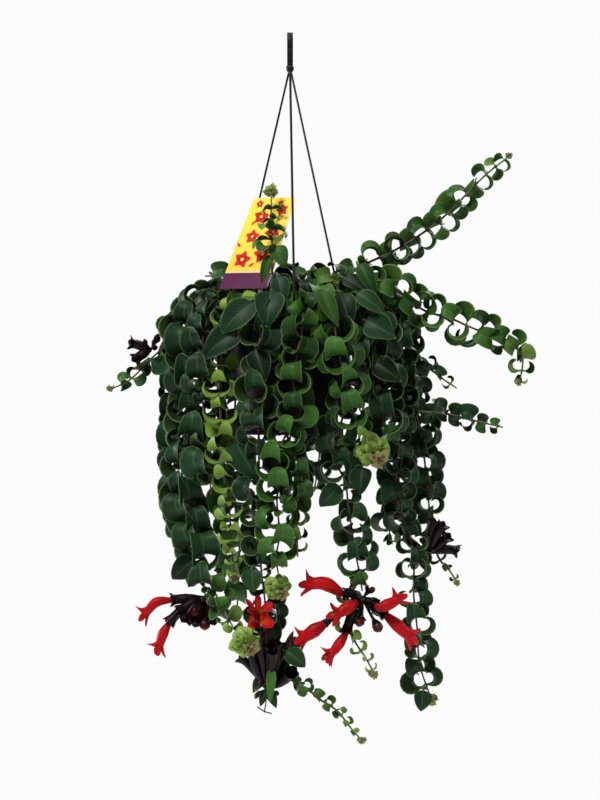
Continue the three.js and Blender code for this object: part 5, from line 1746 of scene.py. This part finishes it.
class PLANT_OT_label(bpy.types.Operator):
    """Make the plant tag with a generic print of blossoms"""

    bl_idname = "plant.label"
    bl_label = "Plant tag"

    def execute(self, context):
        tint = context.scene.plant_label
        x, y, normal, width, lean, height = label_frame()
        outline = label_outline(width, lean, height)
        rings = []
        for depth, inset in (
            (0.0, LABEL_EDGE), (LABEL_EDGE_DEPTH, 0),
            (LABEL_THICK - LABEL_EDGE_DEPTH, 0), (LABEL_THICK, LABEL_EDGE),
        ):
            flat = outline + (outline.mean(0) - outline) * inset / 20
            rings.append(on_label(flat, x, y) + normal * depth)
        plate = Shell()
        plate.add_rings(np.array(rings), up=outline[:, 1] / height)
        head = LABEL_LOW_LEFT + x * STICK_ALONG + y * STICK_OVERLAP + normal * LABEL_THICK / 2
        foot = np.array((*STICK_ROOT, SOIL_Z - ROOT_DEPTH + 1.0))
        middle = np.array((*STICK_ROOT, SOIL_Z + 12.0))
        stick = bezier(head, middle, foot, 14)
        strip = rounded_bar(STICK_WIDTH, LABEL_THICK, STICK_CORNER)
        plate.add_rings(sweep(stick, strip, 1, x), up=-1.0)
        made = [plate.piece("tag_plate", [label_material(tint)], "tag", ["label"])]

        ink = Shell()

        def place_shape(shape, u, v, finish=0):
            """Prints a shape on the face. A second finish lies on top of the first."""
            reach = width * (1 - (1 - LABEL_TOP_SHARE) * v)
            where = on_label(shape + (lean * v + u * reach, v * height), x, y)
            lift = normal * PRINT_THICK * finish
            low = where + normal * LABEL_THICK + lift
            high = where + normal * (LABEL_THICK + PRINT_THICK) + lift
            ink.add_rings(np.array((low, high)), finish=finish)

        for u, v, size, turn in BLOSSOMS:
            for k in range(5):
                petal = petal_outline(size / 2, size * 0.36, turn + k * math.tau / 5)
                place_shape(petal, u, v)
            place_shape(circle(12) * size * 0.1, u, v, 1)
        for u, v, size, turn in SPRIG_LEAVES:
            place_shape(petal_outline(size, size * 0.4, turn), u, v)
        red = plastic_material("Tag print", tint.motif, [c * 1.25 for c in tint.motif], 0.35)
        heart = plastic_material("Tag print heart", tint.field, [c * 0.9 for c in tint.field], 0.35)
        made.append(ink.piece("tag_print", [red, heart], "tag"))
        marks = []
        for v in np.linspace(0, 1, TAG_ROWS):
            reach = width * (1 - (1 - LABEL_TOP_SHARE) * v)
            start = LABEL_LOW_LEFT + y * height * v
            marks += [start + x * (lean * v + reach * u) for u in np.linspace(0, 1, TAG_COLUMNS)]
        room.place("label", marks, STEM_CLEAR + TAG_CLEAR)
        low = np.array(marks[:TAG_LOW_ROWS * TAG_COLUMNS])
        for ahead in TAG_AHEAD:
            room.place("label", low - (0, ahead, 0), AHEAD_CLEAR)
        room.place("label", stick, STEM_CLEAR + STICK_CLEAR)
        return take(self, made)


def label_material(tint):
    """A satin card: yellow field, plum band and a pale cut edge."""
    material, net, shader = new_material("Tag plate")
    up = net.value("up")
    cloud = net.noise(35.0)
    pale = rgba([c * 1.1 for c in tint.field])
    color = net.mix(net.stretch(cloud, 0.3, 0.7), rgba(tint.field), pale)
    for share, paint in (
        (net.math("LESS_THAN", up, LABEL_BAND), tint.band),
        (net.math("COMPARE", up, LABEL_BAND + 0.012, 0.006), tint.edge),
        (net.math("LESS_THAN", up, -0.5), tint.edge),
    ):
        color = net.mix(share, color, rgba(paint))
    net.feed(color, shader.inputs["Base Color"])
    net.feed(net.stretch(cloud, 0.3, 0.7, 0.3, 0.42), shader.inputs["Roughness"])
    return material


# Small buds round a cluster's hub: how many, how far out, and how thick
SMALL_BUDS = 5
BUD_REACH = (13, 9)
BUD_RADIUS = (2.2, 1.4)


class PLANT_OT_flowers(bpy.types.Operator):
    """Make the dark sheaths, the buds and the red flowers"""

    bl_idname = "plant.flowers"
    bl_label = "Flowers"

    def execute(self, context):
        made = []
        petal, dark = petal_material(), sheath_material()
        stamen = stalk_material()
        for k, cluster in enumerate(CLUSTERS):
            node = "sheaths_" + cluster.name
            chance = dice(FLOWER_SEED + k * SEED_STEP)
            shell = Shell()
            for sheath in cluster.sheaths:
                add_sheath(shell, cluster.hub, sheath, node)
            for _ in range(SMALL_BUDS):
                away = np.array((chance() - 0.5, chance() - 0.5, chance() - 0.3))
                end = np.array(cluster.hub, float) + unit(away) * drawn(BUD_REACH, chance)
                bud = Sheath(end, drawn(BUD_RADIUS, chance), True)
                add_sheath(shell, cluster.hub, bud, node)
            for ends in PISTILS.get(cluster.name, ()):
                thread = bezier(*np.array(ends, float), 9)
                rings = sweep(thread, circle(PISTIL_SIDES), PISTIL_RADIUS, (0, 1, 0.1))
                shell.add_rings(rings, along=0.5, inside=0.0, tone=0.5, blush=0.0)
            made.append(shell.piece("calyx_" + cluster.name, [dark], "sheath", [node]))
            for n, corolla in enumerate(cluster.corollas, 1):
                which = f"_{cluster.name}_{n}"
                name = "flower" + which
                tube, threads = Shell(), Shell()
                add_corolla(tube, threads, corolla, name, chance)
                made.append(tube.piece("corolla" + which, [petal], "petal", [name], PETAL_SHARP))
                made.append(threads.piece("stamens" + which, [stamen], "petal"))
        return take(self, made)


def add_bunch(shell, stems, at, size, seed, count, finish=0):
    """A rosette on a stalk of its own."""
    add_rosette(shell, at, size, dice(seed), count)
    add_leafstalk(shell, stems, at, (0, 0, -1), (1, 0, 0.1), finish)


# The spots in a bunch that keep room for it, against the size of one
BUNCH_SPOTS = ((0, 0, 0), (1, 0, 0), (-1, 0, 0), (0, 0, 1), (0, 0, -1), (0, 1, 0))


class PLANT_OT_rosettes(bpy.types.Operator):
    """Make the tight bunches of young leaves"""

    bl_idname = "plant.rosettes"
    bl_label = "Rosettes"

    def execute(self, context):
        made = []
        looks = leaf_materials()
        finish = [looks["lime"], looks["bud"]]
        stems = stem_points()
        for k, (name, (at, size)) in enumerate(ROSETTES.items()):
            at = np.array(at, float)
            shell = Shell()
            add_bunch(shell, stems, at, size, ROSETTE_SEED + k * SEED_STEP, ROSETTE_LEAVES)
            bunch = name.replace("rosette", "bunch")
            made.append(shell.piece(bunch, finish, "leaf_young", [name], LEAF_SHARP))
            for spot in np.array(BUNCH_SPOTS):
                room.place(name, [at + spot * size * 0.3], size * 0.3)
        tips = Shell()
        for k, (at, size) in enumerate(TIP_BUNCHES):
            seed = TIP_SEED + k * SEED_STEP
            add_bunch(tips, stems, np.array(at, float), size, seed, TIP_LEAVES, 1)
        made.append(tips.piece("bunch_tips", finish[::-1], "leaf_young", (), LEAF_SHARP))
        return take(self, made)


class PLANT_OT_broad_leaves(bpy.types.Operator):
    """Make the large old leaves that lie open over the pot"""

    bl_idname = "plant.broad_leaves"
    bl_label = "Broad leaves"

    def execute(self, context):
        shell = Shell()
        chance = dice(BROAD_SEED)
        stems = stem_points()
        for base, way, face, length, aspect, roll, green in BROAD_LEAVES:
            way = unit(way)
            up = unit(np.array(face) - way * np.dot(face, way))
            leaf = Leaf(base, way, up, length, aspect, math.radians(roll), BROAD_LIFT, POINTED)
            room.place("broad", leaf.marks(), LEAF_CLEAR)
            add_leaf(shell, leaf, chance, 0.0, finish=green)
            add_leafstalk(shell, stems, leaf.base, way, up, green)
        looks = leaf_materials()
        greens = [looks[look] for look in BROAD_LOOKS]
        return take(self, [shell.piece("leaves_broad", greens, "leaf", (), LEAF_SHARP)])


class PLANT_OT_stems(bpy.types.Operator):
    """Make every hanging stem with its pairs of rolled leaves"""

    bl_idname = "plant.stems"
    bl_label = "Stems"

    def execute(self, context):
        looks = leaf_materials()
        bark = stalk_material()
        stems = [*STEMS, *(back_stem(k, *row) for k, row in enumerate(BACK_STEMS))]
        shoots = shoots_of(stems)
        reserve_stalks(shoots)
        made = []
        for stem in stems:
            leaves, stalks = Shell(), Shell()
            for shoot, route, seed in shoots:
                if shoot.name != stem.name:
                    continue
                stands = leaves_along(leaves, shoot, route, dice(seed))
                add_stalk(stalks, route, stands)
            short = stem.name.replace("stem_", "").replace("shoot_", "")
            slot = LOOK_SLOTS[stem.look]
            greens = [looks[stem.look], looks["bright"], looks["lime"]]
            made.append(leaves.piece("leaves_" + short, greens, slot, [stem.name], LEAF_SHARP))
            made.append(stalks.piece("stalk_" + short, [bark], slot, [stem.name]))
        return take(self, made)


class PLANT_OT_crown(bpy.types.Operator):
    """Fill the heap of leaves over the pot with short shoots"""

    bl_idname = "plant.crown"
    bl_label = "Crown"

    def execute(self, context):
        count = context.scene.plant_leaves.crown
        chance = dice(CROWN_SEED)
        stems = [crown_shoot(k, count, chance) for k in range(count)]
        shoots = shoots_of(stems, CROWN_FIRST)
        looks = leaf_materials()
        # The leaves in the old shell carry the darker greens that are painted shade.
        shells = {look: Shell() for look in ("old", "bright")}
        stalks = Shell()
        for stem, route, seed in shoots:
            stands = leaves_along(shells[stem.look], stem, route, dice(seed))
            if stands:
                share = min(1, (stands[-1] + 1) / route.length)
                cut = Route(route.at(np.linspace(0, share * route.length, 12)), route.side)
                add_stalk(stalks, cut, stands)
        made = [stalks.piece("stalk_crown", [stalk_material()], "leaf")]
        for look, shell in shells.items():
            name = "leaves_crown_" + look
            made.append(shell.piece(name, [looks[look]], LOOK_SLOTS[look], (), LEAF_SHARP))
        return take(self, made)


# The stage is in metres, but for the floor's thickness: the middle of the view, the point that the
# lamps are turned to, and the floor
VIEW_MIDDLE = (0.0117, -0.04, -0.43)
LAMP_AIM = (0.02, 0, -0.45)
FLOOR_RADIUS = 2.2
FLOOR_SHARES = (0.001, 0.25, 0.5, 0.75, 1.0)
FLOOR_SIDES = 96
FLOOR_THICK = 10
FLOOR_GREYS = ((0.8, 0.8, 0.8, 1), (0.86, 0.86, 0.86, 1))
WHITE = (1, 1, 1, 1)
SKY_COLOR = (0.95, 0.98, 1, 1)

# Where each lamp stands, how far across it is, and its power against the setting for the key light
LAMPS = {
    "Key light": ((-1.3, -2.2, 2.3), 1.0, 1.12),
    "Fill light": ((1.9, -2.3, 0.4), 1.8, 0.13),
    "Top light": ((0.2, 0.6, 2.4), 2.4, 0.25),
    "Rim light": ((-2.5, 0.9, -0.2), 1.2, 0.5),
    "Back light": ((1.2, 2.7, 1.1), 1.8, 0.6),
    "Side light": ((2.8, 0.6, 0.8), 1.4, 0.25),
}


class PLANT_OT_stage(bpy.types.Operator):
    """Make the floor, the soft lights and the camera"""

    bl_idname = "plant.stage"
    bl_label = "Stage"

    def execute(self, context):
        stage = context.scene.plant_stage
        camera = bpy.data.cameras.new("Camera")
        camera.lens = stage.lens
        camera.sensor_width = 36
        camera.clip_end = 100
        eye = put("Camera", camera)
        eye.location = Vector(VIEW_MIDDLE) - Vector((0, stage.distance, 0))
        eye.rotation_euler = (math.radians(90), 0, 0)
        context.scene.camera = eye
        context.scene.view_settings.view_transform = "Standard"
        for name, (place, size, power) in LAMPS.items():
            lamp = bpy.data.lights.new(name, "AREA")
            lamp.size = size
            lamp.energy = stage.key * power
            lit = put(name, lamp)
            lit.location = place
            aim = Vector(LAMP_AIM) - lit.location
            lit.rotation_euler = aim.to_track_quat("-Z", "Y").to_euler()
        self.make_world(context, stage)
        return take(self, [stage_floor(stage.floor)])

    def make_world(self, context, stage):
        """White where the camera sees it, and a faint cool light from all round."""
        world = bpy.data.worlds.new("Studio")
        world.use_nodes = True
        context.scene.world = world
        net = Net(world.node_tree)
        world.node_tree.nodes.clear()
        path = net.node("ShaderNodeLightPath")
        mixed = net.node("ShaderNodeMixShader", {0: path.outputs["Is Camera Ray"]})
        for k, (color, power) in enumerate(((SKY_COLOR, stage.fill), (WHITE, stage.backdrop)), 1):
            sky = net.node("ShaderNodeBackground", {"Color": color, "Strength": power})
            net.feed(sky.outputs[0], mixed.inputs[k])
        net.node("ShaderNodeOutputWorld", {"Surface": mixed.outputs[0]})


def stage_floor(level):
    """The pale floor well under the plant, which is not part of the object."""
    material, net, shader = new_material("Pale floor")
    color = net.mix(net.noise(3.0), *FLOOR_GREYS)
    net.feed(color, shader.inputs["Base Color"])
    shader.inputs["Roughness"].default_value = 0.9
    disc = [(FLOOR_RADIUS * share / MM, level / MM) for share in FLOOR_SHARES]
    under = level / MM - FLOOR_THICK
    disc += [(FLOOR_RADIUS / MM, under), (FLOOR_RADIUS, under)]
    shell = Shell()
    shell.add_rings(lathe(disc, FLOOR_SIDES))
    made = put("floor", shell.mesh("floor", [material]))
    return made


# ------------------------------------------------------------------ panel and registration

ORDER = (
    PLANT_OT_hanger, PLANT_OT_pot, PLANT_OT_soil, PLANT_OT_label, PLANT_OT_flowers,
    PLANT_OT_rosettes, PLANT_OT_broad_leaves, PLANT_OT_stems, PLANT_OT_crown, PLANT_OT_stage,
)
SETTINGS = {
    "plant_leaves": LeafSettings,
    "plant_flowers": FlowerSettings,
    "plant_pot": PotSettings,
    "plant_label": LabelSettings,
    "plant_stage": StageSettings,
}


class VIEW3D_PT_plant(bpy.types.Panel):
    """Lists the pieces and their settings"""

    bl_label = "Lipstick plant"
    bl_space_type = "VIEW_3D"
    bl_region_type = "UI"
    bl_category = "Plant"

    def draw(self, context):
        for operator in ORDER:
            self.layout.operator(operator.bl_idname)
        for name, settings in SETTINGS.items():
            box = self.layout.box()
            for key in settings.__annotations__:
                box.prop(getattr(context.scene, name), key)


def register():
    for cls in (*SETTINGS.values(), *ORDER, VIEW3D_PT_plant):
        bpy.utils.register_class(cls)
    for name, settings in SETTINGS.items():
        setattr(bpy.types.Scene, name, PointerProperty(type=settings))


def unregister():
    for name in SETTINGS:
        delattr(bpy.types.Scene, name)
    for cls in (VIEW3D_PT_plant, *reversed(ORDER), *reversed(SETTINGS.values())):
        bpy.utils.unregister_class(cls)


def main():
    register()
    for operator in ORDER:
        group, name = operator.bl_idname.split(".")
        getattr(getattr(bpy.ops, group), name)()


if __name__ == "__main__":
    main()
